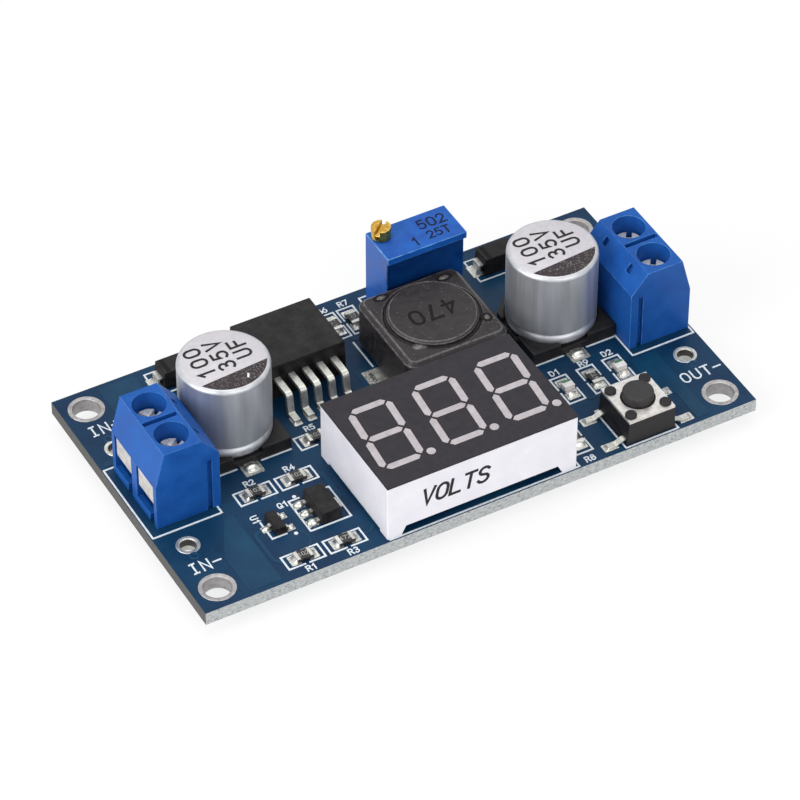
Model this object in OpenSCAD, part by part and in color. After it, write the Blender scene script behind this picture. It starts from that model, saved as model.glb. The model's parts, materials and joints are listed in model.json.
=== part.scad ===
// Step-up voltage converter module with a three-digit panel meter.
// Lengths are in millimetres. +X runs along the board, +Y to its back edge, +Z up.
// The origin is the middle of the four mounting holes, on the underside of the board.
// The board is as long and as wide as the parts standing in line on it need.

/* [Board] */
// Thickness of the laminate
pcb_t = 1.6; // [1:0.1:2.4]
// Distance from each board edge to the mounting holes
hole_inset = 2.8; // [2.5:0.1:4]
// Radius of a mounting hole
hole_r = 1.5; // [1.1:0.05:1.75]
// Radius of the bright ring around a mounting hole
hole_ring_r = 2; // [1.9:0.05:2.4]
// Radius of a wire hole
wire_hole_r = 0.9; // [0.5:0.05:1]
// Radius of the bright ring around a wire hole
wire_ring_r = 1.3; // [1.15:0.05:1.7]
// Distance between the plus and minus wire holes on one side
wire_hole_span = 16.6; // [15:0.1:18]
// Distance from the board end to the wire holes
wire_hole_inset = 2.95; // [2.4:0.05:4]
// Thickness of the plated rings
plating_t = 0.05; // [0.03:0.01:0.1]
// Length of the through-hole pins below the board
pin_tail = 1.5; // [1:0.1:2.5]
// Gap between a through-hole pin and its drilled hole, filled with solder
pin_gap = 0.15; // [0.05:0.05:0.25]
// Height of a solder cone under the board
solder_h = 1; // [0.6:0.1:1.2]
// Width of a solder cone beyond its drilled hole
solder_foot = 0.45; // [0.3:0.05:0.6]

/* [Gaps along the board, left to right] */
// Left board edge to the input terminal
in_setback = 1.22; // [0.2:0.01:3]
// Input terminal to the input capacitor
in_cap_gap = 0.18; // [0.1:0.01:2]
// Input capacitor to the regulator
cap_reg_gap = 0.7; // [0.2:0.05:3]
// Regulator to the inductor
reg_ind_gap = 3; // [2.6:0.1:6]
// Inductor to the output capacitor
ind_cap_gap = 2.65; // [2.4:0.05:6]
// Output capacitor to the output terminal
out_cap_gap = 0.12; // [0.1:0.01:2]
// Output terminal to the right board edge
out_setback = 0.33; // [0.2:0.01:3]

/* [Gaps across the board, front to back] */
// Front board edge to the display
display_setback = 0.28; // [0.2:0.01:2]
// Display to the inductor
display_ind_gap = 1.5; // [0.8:0.1:4]
// Inductor to the trimmer
ind_trim_gap = 0.35; // [0.3:0.05:2]
// Trimmer to the back board edge
trim_setback = 2.22; // [1.5:0.01:4]
// Regulator body to the back board edge
reg_setback = 2.8; // [2:0.1:4]
// Middle of the terminals, from the middle of the board
terminal_y = 0.4; // [-1:0.1:1]
// Middle of the input capacitor, from the middle of the board
in_cap_y = 4.5; // [3.5:0.1:5]
// Middle of the output capacitor, from the middle of the board
out_cap_y = 3.17; // [2.7:0.01:4.2]
// Middle of the display, from the middle of the board
display_x = -0.43; // [-1.5:0.01:1]
// Trimmer to the right of the inductor's middle
trim_shift = 2.73; // [1.5:0.01:4]

/* [Screw terminals] */
// Distance between the two poles
pole_pitch = 5.08; // [5:0.02:6]
// Thickness of the wall between the poles
divider_t = 1.18; // [0.9:0.02:1.5]
// Thickness of the wall over the wire openings
front_wall = 0.7; // [0.5:0.05:1]
// Thickness of the wall behind the contacts
back_wall = 1.55; // [1.1:0.05:2.5]
// Thickness of the floor under a clamp
terminal_floor = 0.7; // [0.5:0.05:1.2]
// Depth of a screw head below the top
well_depth = 2.1; // [1:0.1:3]
// Thickness of the shelf that a screw head stands on
shelf_t = 0.5; // [0.4:0.05:1]
// Radius of a screw head
head_r = 1.6; // [1.5:0.05:1.8]
// Height of a screw head
head_h = 1.6; // [1.2:0.1:2]
// Radius of a screw shank
shank_r = 1.2; // [0.9:0.05:1.25]
// Travel of a clamp from closed to open
clamp_travel = 1.5; // [1:0.1:2]
// Length of a clamp along the wire
clamp_l = 3.4; // [3:0.1:4.5]
// Thickness of a clamp's sides
clamp_wall = 0.4; // [0.3:0.05:0.45]
// Thickness of a clamp's floor
clamp_floor = 0.5; // [0.4:0.05:0.8]
// Thickness of a clamp's threaded top
clamp_top = 0.8; // [0.6:0.05:1.2]
// Thickness of the contact strip
contact_t = 0.5; // [0.4:0.05:0.8]
// Depth of the contact's apron in the wire opening
apron_inset = 0.15; // [0.05:0.05:0.3]
// Gap at the sides of a clamp
side_gap = 0.2; // [0.1:0.05:0.25]
// Running gap above and below the moving pieces
run_gap = 0.05; // [0.03:0.01:0.1]
// Radius of a terminal pin
terminal_pin_r = 0.5; // [0.4:0.05:0.6]

/* [Capacitors] */
// Side of the square base
cap_base = 10.3; // [10:0.1:11.5]
// Thickness of the base
cap_base_h = 1.6; // [1.5:0.1:2.4]
// Radius of the can
can_r = 5; // [4.5:0.05:5]
// Top of the can above the board
can_top = 10.7; // [8:0.1:14]
// Height of the crimped roll at the foot of the can
can_roll = 1.5; // [1:0.1:2]
// Depth of the crimp above the roll
can_crimp = 0.2; // [0.1:0.05:0.4]
// Depth of the seat for the can in the base
can_seat = 0.7; // [0.4:0.05:0.9]
// Width of a capacitor tab
cap_tab_w = 1.2; // [0.8:0.1:1.6]
// Thickness of a capacitor tab
cap_tab_t = 0.25; // [0.2:0.05:0.4]
// Length of a tab beyond the base
cap_tab_out = 0.9; // [0.4:0.1:1.4]

/* [Regulator] */
// Width of the body
reg_w = 10; // [9.6:0.1:10.6]
// Depth of the body
reg_d = 8.3; // [7.8:0.1:9.2]
// Height of the body
reg_h = 4.5; // [4:0.1:4.8]
// Thickness of the heat spreader
reg_tab_t = 1.27; // [1:0.01:1.4]
// Length of the heat spreader behind the body
reg_tab_out = 1.3; // [0.8:0.1:1.7]
// Distance between the leads
reg_pitch = 1.7; // [1.6:0.02:1.8]
// Width of a lead
reg_lead_w = 0.8; // [0.6:0.05:0.9]
// Thickness of a lead
reg_lead_t = 0.5; // [0.4:0.05:0.6]
// Height at which the leads leave the body
reg_lead_z = 2.4; // [1.8:0.05:2.8]
// Reach of the leads in front of the body
reg_lead_out = 4.5; // [4:0.1:5]

/* [Inductor] */
// Side of the square shield
ind_w = 12.3; // [12:0.1:13.5]
// Height of the shield's top above the board
ind_h = 6.2; // [5.5:0.1:8]
// Corner radius of the shield
ind_corner = 1.3; // [1:0.1:2.2]
// Width of the bevel around the shield's top
ind_bevel = 0.5; // [0.2:0.05:0.8]
// Thinnest wall of the shield around its hole
ind_wall = 0.8; // [0.6:0.05:1.2]
// Open ring between the shield and the drum core
drum_gap = 0.36; // [0.15:0.01:0.7]
// Height of the drum core above the shield
drum_rise = 0.5; // [0:0.05:0.6]
// Thickness of a drum flange
drum_flange = 1.2; // [0.8:0.1:1.5]
// Radius of the drum's post
drum_post_r = 2.4; // [1.8:0.1:3]
// Distance of the copper winding inside the drum's edge
winding_inset = 0.57; // [0.2:0.01:1]
// Thickness of the moulded base
ind_base_t = 0.5; // [0.4:0.05:0.8]
// Width of a terminal clip
ind_clip_w = 2.4; // [2:0.1:4]
// Thickness of a terminal clip
ind_clip_t = 0.3; // [0.2:0.05:0.4]
// Reach of a terminal clip beyond the shield
ind_clip_out = 1; // [0.6:0.1:1.4]

/* [Trimmer] */
// Width of the body
trim_w = 9.5; // [9.2:0.05:10.2]
// Depth of the body
trim_d = 4.8; // [4.6:0.05:5.2]
// Height of the body
trim_h = 9.5; // [9.2:0.05:10.5]
// Height of the feet
trim_foot = 0.5; // [0.3:0.05:0.8]
// Thickness of the walls
trim_wall = 0.6; // [0.4:0.05:0.65]
// Thickness of the top
trim_top = 0.8; // [0.6:0.05:1.2]
// Overhang of the rim around the top
trim_lip = 0.25; // [0.1:0.05:0.3]
// Height of the rim
trim_lip_h = 0.9; // [0.5:0.1:1.5]
// Distance of the adjusting screw from the left and back faces
trim_screw_inset = 1.25; // [1.2:0.05:1.4]
// Radius of the screw head
trim_head_r = 1.1; // [0.9:0.05:1.15]
// Height of the screw head
trim_head_h = 1.4; // [1:0.1:1.8]
// Radius of the screw shaft
trim_shaft_r = 0.6; // [0.5:0.05:0.6]
// Radius of the worm wheel
wheel_r = 2.5; // [2:0.05:2.6]
// Thickness of the worm wheel
wheel_t = 0.9; // [0.6:0.1:0.9]
// Number of worm wheel teeth
wheel_teeth = 30; // [20:1:40]
// Radius of the pivot under the worm wheel
pivot_r = 0.6; // [0.4:0.05:0.8]
// Thickness of the ceramic resistor plate
element_t = 0.6; // [0.4:0.05:0.8]
// Distance between the pins
trim_pin_pitch = 2.54; // [2:0.02:2.8]
// Radius of a pin
trim_pin_r = 0.25; // [0.2:0.05:0.3]

/* [Display] */
// Width of the case
display_w = 22.65; // [22.2:0.05:24]
// Depth of the case
display_d = 14.55; // [14:0.05:15.2]
// Height of the case
display_h = 7.45; // [6.8:0.05:8.5]
// Thickness of the dark face
face_t = 0.25; // [0.15:0.05:0.5]
// Thickness of the case wall around the carrier board
case_wall = 0.8; // [0.6:0.1:1.1]
// Height of the gap under the long sides
long_gap = 1.1; // [0.8:0.1:1.3]
// Height of the gap under the short sides
short_gap = 0.45; // [0.2:0.05:0.8]
// Length of the feet at the corners
corner_foot = 1.7; // [1.2:0.1:2.5]
// Thickness of the carrier board
carrier_t = 0.8; // [0.5:0.1:1.2]
// Carrier board above the circuit board
carrier_z = 1.5; // [1.4:0.1:2]
// Distance from the case's sides to the middles of the outer digits
digit_margin = 3.825; // [3.6:0.005:4]
// Distance from the case's long sides to the middles of the outer bars
digit_border = 2.785; // [2.5:0.005:3]
// Distance from a digit's right bars to the next digit's left bars
digit_space = 3.1; // [2.9:0.05:3.4]
// Width of a bar
bar_w = 0.8; // [0.7:0.05:1.1]
// Gap between the bars of a digit
bar_gap = 0.25; // [0.15:0.05:0.4]
// Slant of the digits in degrees
slant = 4.8; // [0:0.2:8]
// Decimal point to the right of its digit's right bars
dot_shift = 0.67; // [0.6:0.01:0.9]
// Radius of a decimal point
dot_r = 0.5; // [0.4:0.05:0.6]
// Gap around a bar in the case
bar_fit = 0.02; // [0.01:0.01:0.05]
// Distance between display pins
display_pin_pitch = 2.54; // [2.2:0.02:2.8]
// Distance between the two rows of display pins
display_pin_span = 10.16; // [9:0.02:10.4]
// Radius of a display pin
display_pin_r = 0.25; // [0.2:0.05:0.3]

/* [Button switch] */
// Display to the middle of the switch
switch_shift = 9.3; // [9:0.1:10.5]
// Side of the switch body
switch_w = 6; // [5.8:0.1:6.4]
// Height of the switch, to the top of its cover
switch_h = 3.3; // [3:0.1:4]
// Thickness of the metal cover
cover_t = 0.3; // [0.2:0.05:0.4]
// Slope of the body's left and right sides
switch_draft = 0.2; // [0.1:0.05:0.3]
// Radius of the button
button_r = 1.7; // [1.5:0.05:1.8]
// Height of the button above the cover
button_h = 1.05; // [0.8:0.05:4]
// Travel of the button
button_travel = 0.25; // [0.15:0.05:0.35]
// Radius of the hidden flange that keeps the button in
button_flange_r = 2.15; // [2.1:0.05:2.2]
// Gap around the button
button_gap = 0.1; // [0.05:0.05:0.15]
// Gap between the button and the edge of the cover
cover_gap = 0.2; // [0.1:0.05:0.25]
// Distance of the rivet heads from the middle of the switch
rivet_offset = 2.12; // [2.1:0.01:2.2]
// Radius of a rivet head
rivet_r = 0.64; // [0.4:0.02:0.66]
// Distance of the leads from the middle line
switch_lead_offset = 2.25; // [2:0.05:2.3]
// Reach of the leads from the middle
switch_lead_reach = 5.1; // [4.8:0.1:5.6]
// Width of a lead
switch_lead_w = 0.7; // [0.5:0.05:0.9]
// Thickness of a lead
switch_lead_t = 0.2; // [0.15:0.05:0.3]

/* [Places of the small parts] */
// Display to the left column of chips
left_column = 8.72; // [8.2:0.01:9.5]
// Display to the right column of chips
right_column = 3.85; // [3.6:0.01:4.2]
// Front board edge to the front row of chips
front_row = 2.4; // [2:0.1:3]
// Front board edge to the rear row of chips
rear_row = 13.05; // [12.6:0.05:13.6]
// Front board edge to the transistor and the reference chip
transistor_row = 7.8; // [7.4:0.1:8.2]
// Transistor to the right of its column's middle
transistor_shift = 0.25; // [0:0.05:0.5]
// Reference chip to the left of its column's middle
reference_shift = 0.35; // [0:0.05:0.6]
// Front board edge to the switch
switch_row = 3.45; // [3.3:0.05:4]
// Front board edge to the indicator lights
indicator_row = 11.1; // [10.6:0.1:11.6]
// Right indicator light to the right of the switch's middle
right_indicator_shift = 2.5; // [2.2:0.1:2.8]
// Left indicator light to the left of the switch's middle
left_indicator_shift = 4; // [3.6:0.1:4.4]
// Indicator resistor to the left of the switch's middle
indicator_resistor_shift = 0.7; // [0.4:0.1:1]
// Display to the resistor beside it
side_resistor_shift = 1.95; // [1.7:0.05:2.2]
// Front board edge to the resistor beside the display
side_resistor_row = 3.95; // [3.4:0.05:4.4]
// Feedback resistor to the left of the regulator's middle
feedback_shift = 2.85; // [2.2:0.05:3.2]
// Feedback resistor in front of the regulator
feedback_gap = 7.45; // [7:0.05:7.8]
// Trimmer to the nearest resistor
rear_resistor_gap = 2.5; // [2:0.1:2.8]
// Distance between the two resistors beside the trimmer
rear_resistor_pitch = 2.4; // [2:0.1:2.6]
// Resistors beside the trimmer behind its middle
rear_resistor_shift = 0.55; // [0:0.05:1]
// Input diode to the left of the input capacitor's middle
in_diode_shift = 0.4; // [0:0.05:1]
// Back board edge to the input diode
in_diode_row = 2.85; // [2:0.05:4]
// Output diode to the left of the output capacitor's middle
out_diode_shift = 0.27; // [0:0.01:1]
// Back board edge to the output diode
out_diode_row = 3.53; // [2:0.01:4.5]

/* [Small parts] */
// Length of a chip resistor or indicator light
chip_l = 2; // [1.8:0.05:2.2]
// Width of a chip resistor or indicator light
chip_w = 1.25; // [1.1:0.05:1.4]
// Height of a chip resistor
chip_h = 0.55; // [0.4:0.05:0.7]
// Length of a metal end cap
chip_cap_l = 0.4; // [0.3:0.05:0.5]
// Thickness of a metal end cap
chip_cap_t = 0.04; // [0.02:0.01:0.08]
// Height of an indicator light
led_h = 0.9; // [0.7:0.05:1.1]
// Height of the board under an indicator light's lens
led_base_h = 0.35; // [0.25:0.05:0.5]
// Length of a diode body
diode_l = 4.3; // [4:0.1:4.6]
// Width of a diode body
diode_w = 2.65; // [2.4:0.05:2.9]
// Height of a diode body
diode_h = 2.2; // [2:0.05:2.4]
// Length of a transistor body
transistor_l = 4.5; // [4.2:0.1:4.7]
// Width of a transistor body
transistor_w = 2.5; // [2.3:0.1:2.7]
// Height of a transistor body
transistor_h = 1.5; // [1.3:0.05:1.7]
// Length of the reference chip's body
reference_l = 2.9; // [2.7:0.1:3.1]
// Width of the reference chip's body
reference_w = 1.3; // [1.2:0.05:1.5]
// Height of the reference chip's body
reference_h = 1; // [0.9:0.05:1.2]
// Length of the meter controller's body
meter_l = 6.5; // [6:0.1:7]
// Width of the meter controller's body
meter_w = 4.4; // [4:0.1:4.6]
// Height of the meter controller's body
meter_h = 1; // [0.8:0.05:1.1]
// Distance between the meter controller's leads
meter_pitch = 0.65; // [0.6:0.01:0.66]
// Slope of the moulded bodies' sides
mould_draft = 0.15; // [0.05:0.05:0.25]

/* [Hidden] */
$fn = 48;

// Overlap of a cut beyond the face that it opens
cut = 0.5;

// Terminal block: stack of its pieces along the wire, and from the board up
terminal_depth = front_wall + 4 * side_gap + 2 * contact_t + clamp_l + back_wall;
clamp_u = front_wall + contact_t + 2 * side_gap;
leg_u = clamp_u + clamp_l + side_gap;
chamber_back_u = leg_u + contact_t + side_gap;
screw_u = clamp_u + clamp_l / 2;
terminal_l = 2 * pole_pitch;
chamber_w = pole_pitch - divider_t;
clamp_w = chamber_w - 2 * side_gap;
contact_w = clamp_w - 2 * clamp_wall - 2 * side_gap;
clamp_z = terminal_floor + run_gap + clamp_travel;
strip_z = clamp_z + clamp_floor + run_gap;
screw_tip_z = strip_z + contact_t + run_gap;
clamp_h = screw_tip_z + run_gap + clamp_top - (clamp_z - clamp_travel);
ceiling_z = clamp_z + clamp_h + run_gap;
head_z = ceiling_z + shelf_t + run_gap;
terminal_h = head_z + head_h + well_depth;
opening_edge = 0.2;
well_gap = 0.25;
shelf_gap = 0.15;
lintel_z = ceiling_z - opening_edge;
sill_z = terminal_floor + opening_edge;
well_r = head_r + well_gap;
shelf_hole_r = shank_r + shelf_gap;
// Slopes of the terminal block's upper edges: [run, drop]
front_slope = [1.15, 4.4];
inner_slope = [2, 2.4];

// Overall size of the board, from the parts in line on it
board_l = in_setback + 2 * terminal_depth + in_cap_gap + 2 * cap_base + cap_reg_gap + reg_w
  + reg_ind_gap + ind_w + ind_cap_gap + out_cap_gap + out_setback;
board_w = display_setback + display_d + display_ind_gap + ind_w + ind_trim_gap + trim_d + trim_setback;
front_y = -board_w / 2;
back_y = board_w / 2;

// Places of the parts along the board
in_face_x = -board_l / 2 + in_setback;
in_cap_x = in_face_x + terminal_depth + in_cap_gap + cap_base / 2;
reg_x = in_cap_x + cap_base / 2 + cap_reg_gap + reg_w / 2;
ind_x = reg_x + reg_w / 2 + reg_ind_gap + ind_w / 2;
out_cap_x = ind_x + ind_w / 2 + ind_cap_gap + cap_base / 2;
out_face_x = board_l / 2 - out_setback;
trim_x = ind_x + trim_shift;
display_left = display_x - display_w / 2;
display_right = display_x + display_w / 2;
switch_x = display_right + switch_shift;

// Places of the parts across the board
display_y = front_y + display_setback + display_d / 2;
ind_y = display_y + display_d / 2 + display_ind_gap + ind_w / 2;
trim_y = ind_y + ind_w / 2 + ind_trim_gap + trim_d / 2;
reg_y = back_y - reg_setback - reg_d / 2;
reg_front_y = reg_y - reg_d / 2;
switch_y = front_y + switch_row;

// Holes of the board
hole_x = board_l / 2 - hole_inset;
hole_y = board_w / 2 - hole_inset;
wire_hole_x = board_l / 2 - wire_hole_inset;

// Through-hole pins: [x, y, radius]
terminal_pin_u = leg_u + contact_t / 2;
terminal_pins = [for (s = [-1, 1], p = [-1, 1])
  [s < 0 ? in_face_x + terminal_pin_u : out_face_x - terminal_pin_u,
   terminal_y + p * pole_pitch / 2, terminal_pin_r]];
trim_pin_y = trim_y - trim_d / 2 + trim_wall + element_t + trim_pin_r;
trim_pins = [for (k = [-1:1]) [trim_x + k * trim_pin_pitch, trim_pin_y, trim_pin_r]];
// Six pins in the front row of the display and five in the back row
display_row_pins = [6, 5];
display_pins_at = [for (row = [0, 1], k = [0:display_row_pins[row] - 1])
  [display_x + (k - 2.5) * display_pin_pitch,
   display_y + (row - 0.5) * display_pin_span, display_pin_r]];
through_pins = concat(terminal_pins, trim_pins, display_pins_at);

// Small parts: [x, y, turn in degrees]
left_column_x = display_left - left_column;
right_column_x = display_left - right_column;
chip_front_y = front_y + front_row;
chip_rear_y = front_y + rear_row;
indicator_y = front_y + indicator_row;
rear_resistor_x = trim_x - trim_w / 2 - rear_resistor_gap;
rear_resistor_y = trim_y + rear_resistor_shift;
resistors_at = [
  [left_column_x, chip_rear_y, 0], [right_column_x, chip_rear_y, 0],
  [left_column_x, chip_front_y, 0], [right_column_x, chip_front_y, 0],
  [reg_x - feedback_shift, reg_front_y - feedback_gap, 0],
  [rear_resistor_x, rear_resistor_y, 90], [rear_resistor_x - rear_resistor_pitch, rear_resistor_y, 90],
  [switch_x - indicator_resistor_shift, indicator_y, 90],
  [display_right + side_resistor_shift, front_y + side_resistor_row, 90]
];
indicators_at = [
  [switch_x + right_indicator_shift, indicator_y, 90],
  [switch_x - left_indicator_shift, indicator_y, 90]
];
transistor_at = [right_column_x + transistor_shift, front_y + transistor_row];
reference_at = [left_column_x - reference_shift, front_y + transistor_row];
in_diode_at = [in_cap_x - in_diode_shift, back_y - in_diode_row];
out_diode_at = [out_cap_x - out_diode_shift, back_y - out_diode_row];

// Inductor, from the outside in
ind_bore_r = ind_w / 2 - ind_wall;
drum_r = ind_bore_r - drum_gap;
winding_r = drum_r - winding_inset;

// Trimmer, inside: the worm beside the wheel that it turns
trim_cavity_w = trim_w - 2 * trim_wall;
trim_cavity_d = trim_d - 2 * trim_wall;
trim_screw_x = -trim_w / 2 + trim_screw_inset;
trim_screw_y = trim_d / 2 - trim_screw_inset;
worm_gap = 0.1;
wheel_x = trim_screw_x + trim_shaft_r + worm_gap + wheel_r;
wheel_z = trim_foot + trim_h / 2;
trim_base_t = 0.8;
element_back_y = -trim_cavity_d / 2 + element_t;
wiper_t = 0.2;
wiper_gap = 0.1;
hub_front_y = element_back_y + wiper_gap + wiper_t;

// Display, inside
bar_z = carrier_z + carrier_t + run_gap;
case_top_z = display_h - face_t;
digit_pitch = (display_w - 2 * digit_margin) / 2;
digit_w = digit_pitch - digit_space;
digit_h = display_d - 2 * digit_border;
digits_x = [for (k = [-1:1]) k * digit_pitch];

// Switch, inside: the floor of its pocket and the nub of its button
switch_floor_z = 1;
button_flange_t = 0.5;
nub_h = 0.5;
nub_gap = 0.1;

// Meter controller, under the display
meter_lead_count = 10;
meter_lead_w = 0.25;
meter_lead_reach = 3.2;
meter_lead_t = 0.15;

// Colours
c_laminate = "#1d466f";
c_tin = "#c9cbca";
c_solder = "#b9bcbc";
c_blue = "#2a63b8";
c_nickel = "#d2cfc8";
c_aluminium = "#c3c5c9";
c_black = "#2b2a2c";
c_ferrite = "#4a4749";
c_copper = "#b8683a";
c_brass = "#d3a53f";
c_ceramic = "#e6e2da";
c_white = "#e9e7ec";
c_bar = "#d8d0d4";
c_lens = "#e4e7dc";
c_carrier = "#3a5c33";

// A block standing on the board plane, centred on the vertical axis
module slab(w, d, h) {
  translate([-w / 2, -d / 2, 0])
    cube([w, d, h]);
}

// A slab with round vertical corners
module rounded_slab(w, d, h, r) {
  slab(w - 2 * r, d, h);
  slab(w, d - 2 * r, h);
  for (x = [-1, 1], y = [-1, 1])
    translate([x * (w / 2 - r), y * (d / 2 - r), 0])
      cylinder(h = h, r = r);
}

// A square slab with round corners, all bevelled at 45 degrees over its full height
module bevelled_slab(w, r, bevel) {
  for (turn = [0, 90])
    rotate(turn)
      along_y(w - 2 * r)
        polygon([[-w / 2, 0], [w / 2, 0], [w / 2 - bevel, bevel], [bevel - w / 2, bevel]]);
  for (x = [-1, 1], y = [-1, 1])
    translate([x * (w / 2 - r), y * (w / 2 - r), 0])
      cylinder(h = bevel, r1 = r, r2 = r - bevel);
}

// A slab whose sides lean in towards the top
module drafted_slab(w, d, h, lean_x, lean_y) {
  intersection() {
    rotate([90, 0, 0])
      linear_extrude(height = d, center = true)
        polygon([[-w / 2, 0], [w / 2, 0], [w / 2 - lean_x, h], [lean_x - w / 2, h]]);
    rotate([90, 0, 90])
      linear_extrude(height = w, center = true)
        polygon([[-d / 2, 0], [d / 2, 0], [d / 2 - lean_y, h], [lean_y - d / 2, h]]);
  }
}

// A profile in the plane of X and Z, drawn out along Y and centred on it
module along_y(width) {
  rotate([90, 0, 0])
    linear_extrude(height = width, center = true)
      children();
}

// A formed lead towards +X: out of the body at height z, down, and flat on the board
module formed_lead(start, bend, foot, reach, z, t, w) {
  mitre = t * tan(atan2(z, foot - bend) / 2);
  along_y(w)
    polygon([[start, z], [bend, z], [foot, 0], [reach, 0], [reach, t], [foot + mitre, t],
             [bend + mitre, z + t], [start, z + t]]);
}

module on_board(at, turn = 0) {
  translate([at[0], at[1], pcb_t])
    rotate(turn)
      children();
}

module at_mounting_holes() {
  for (x = [-hole_x, hole_x], y = [-hole_y, hole_y])
    translate([x, y, 0])
      children();
}

module at_wire_holes() {
  for (x = [-wire_hole_x, wire_hole_x], y = [-wire_hole_span / 2, wire_hole_span / 2])
    translate([x, y, 0])
      children();
}

module drill(r) {
  translate([0, 0, -cut])
    cylinder(h = pcb_t + 2 * cut, r = r);
}

module circuit_board() {
  color(c_laminate)
    difference() {
      slab(board_l, board_w, pcb_t);
      at_mounting_holes()
        drill(hole_r);
      at_wire_holes()
        drill(wire_hole_r);
      for (p = through_pins)
        translate([p[0], p[1], 0])
          drill(p[2] + pin_gap);
    }
}

// The plated rings around the two ends of a hole
module hole_rings(r, ring_r) {
  for (z = [-plating_t, pcb_t])
    translate([0, 0, z])
      difference() {
        cylinder(h = plating_t, r = ring_r);
        translate([0, 0, -cut])
          cylinder(h = plating_t + 2 * cut, r = r);
      }
}

module hole_plating() {
  color(c_tin) {
    at_mounting_holes()
      hole_rings(hole_r, hole_ring_r);
    at_wire_holes()
      hole_rings(wire_hole_r, wire_ring_r);
  }
}

// Solder that fills a drilled hole around its pin and stands as a cone below
module solder_joints() {
  tip = 0.1;
  color(c_solder)
    for (p = through_pins)
      translate([p[0], p[1], 0])
        rotate_extrude()
          polygon([[p[2], -solder_h], [p[2] + tip, -solder_h],
                   [p[2] + pin_gap + solder_foot, 0], [p[2] + pin_gap, 0],
                   [p[2] + pin_gap, pcb_t], [p[2], pcb_t]]);
}

// Terminal blocks lie with the wire face at x = 0 and the inside towards +X
module at_input_terminal() {
  translate([in_face_x, terminal_y, pcb_t])
    children();
}

module at_output_terminal() {
  translate([out_face_x, terminal_y, pcb_t])
    mirror([1, 0, 0])
      children();
}

module at_pole(side) {
  translate([0, side * pole_pitch / 2, 0])
    children();
}

// The chamber, wire opening, notch beside its sill, screw well and slit of one pole
module pole_cuts() {
  slit = [1, 0.8, 0.6];
  slit_rise = 0.4;
  notch = [0.9, 1];
  translate([front_wall, -chamber_w / 2, terminal_floor])
    cube([chamber_back_u - front_wall, chamber_w, ceiling_z - terminal_floor]);
  translate([-cut, -chamber_w / 2, sill_z])
    cube([front_wall + 2 * cut, chamber_w, lintel_z - sill_z]);
  translate([-cut, -chamber_w / 2, -cut])
    cube([notch[0] + cut, notch[1], sill_z + 2 * cut]);
  translate([screw_u, 0, head_z - run_gap])
    cylinder(h = head_h + well_depth + cut + run_gap, r = well_r);
  translate([screw_u, 0, ceiling_z - cut])
    cylinder(h = shelf_t + 2 * cut, r = shelf_hole_r);
  translate([terminal_pin_u, 0, -cut])
    cylinder(h = terminal_floor + 2 * cut, r = terminal_pin_r + side_gap / 2);
  translate([terminal_depth - inner_slope[0] / 2, 0, terminal_h - inner_slope[1] / 2])
    rotate([0, atan2(inner_slope[1], inner_slope[0]), 0])
      translate([-slit[0] / 2 - slit_rise, -slit[1] / 2, -slit[2]])
        cube([slit[0], slit[1], 2 * slit[2]]);
}

module terminal_housing() {
  top_groove = [4, 0.6, 0.8];
  end_groove = [0.6, 0.45];
  end_groove_h = terminal_h - inner_slope[1] - 0.6;
  color(c_blue)
    difference() {
      along_y(terminal_l)
        polygon([[0, 0], [0, terminal_h - front_slope[1]], [front_slope[0], terminal_h],
                 [terminal_depth - inner_slope[0], terminal_h],
                 [terminal_depth, terminal_h - inner_slope[1]], [terminal_depth, 0]]);
      for (side = [-1, 1])
        at_pole(side)
          pole_cuts();
      translate([screw_u - top_groove[0] / 2, -top_groove[1] / 2, terminal_h - top_groove[2]])
        cube([top_groove[0], top_groove[1], top_groove[2] + cut]);
      for (side = [-1, 1])
        translate([terminal_depth - 2 * end_groove[0], side * terminal_l / 2, -cut])
          slab(end_groove[0], 2 * end_groove[1], end_groove_h + cut);
    }
}

// A strip with an apron in the wire opening, a shelf through the clamp, a leg and a pin
module terminal_contact() {
  strip_top = strip_z + contact_t;
  translate([apron_inset, -contact_w / 2, strip_z])
    cube([leg_u + contact_t - apron_inset, contact_w, contact_t]);
  translate([apron_inset, -clamp_w / 2, strip_z])
    cube([contact_t, clamp_w, lintel_z - run_gap - strip_z]);
  translate([leg_u, -contact_w / 2, terminal_floor])
    cube([contact_t, contact_w, strip_top - terminal_floor]);
  translate([terminal_pin_u, 0, -pcb_t - pin_tail])
    cylinder(h = pcb_t + pin_tail + terminal_floor, r = terminal_pin_r);
}

module terminal_contacts() {
  color(c_nickel)
    for (side = [-1, 1])
      at_pole(side)
        terminal_contact();
}

// A cheese-head screw with a cross slot
module terminal_screw() {
  slot = [0.6, 0.7];
  color(c_nickel)
    translate([screw_u, 0, 0])
      difference() {
        union() {
          translate([0, 0, screw_tip_z])
            cylinder(h = head_z - screw_tip_z, r = shank_r);
          translate([0, 0, head_z])
            cylinder(h = head_h, r = head_r);
        }
        for (turn = [35, 125])
          translate([0, 0, head_z + head_h - slot[1]])
            rotate(turn)
              slab(2 * head_r + 2 * cut, slot[0], slot[1] + cut);
      }
}

// A square loop around the strip, with the thread of the screw in its top
module terminal_clamp() {
  color(c_nickel)
    translate([screw_u, 0, clamp_z])
      difference() {
        slab(clamp_l, clamp_w, clamp_h);
        translate([0, 0, clamp_floor])
          slab(clamp_l + 2 * cut, clamp_w - 2 * clamp_wall, clamp_h - clamp_floor - clamp_top);
        translate([0, 0, clamp_h - clamp_top - cut])
          cylinder(h = clamp_top + 2 * cut, r = shank_r + run_gap);
      }
}

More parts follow.
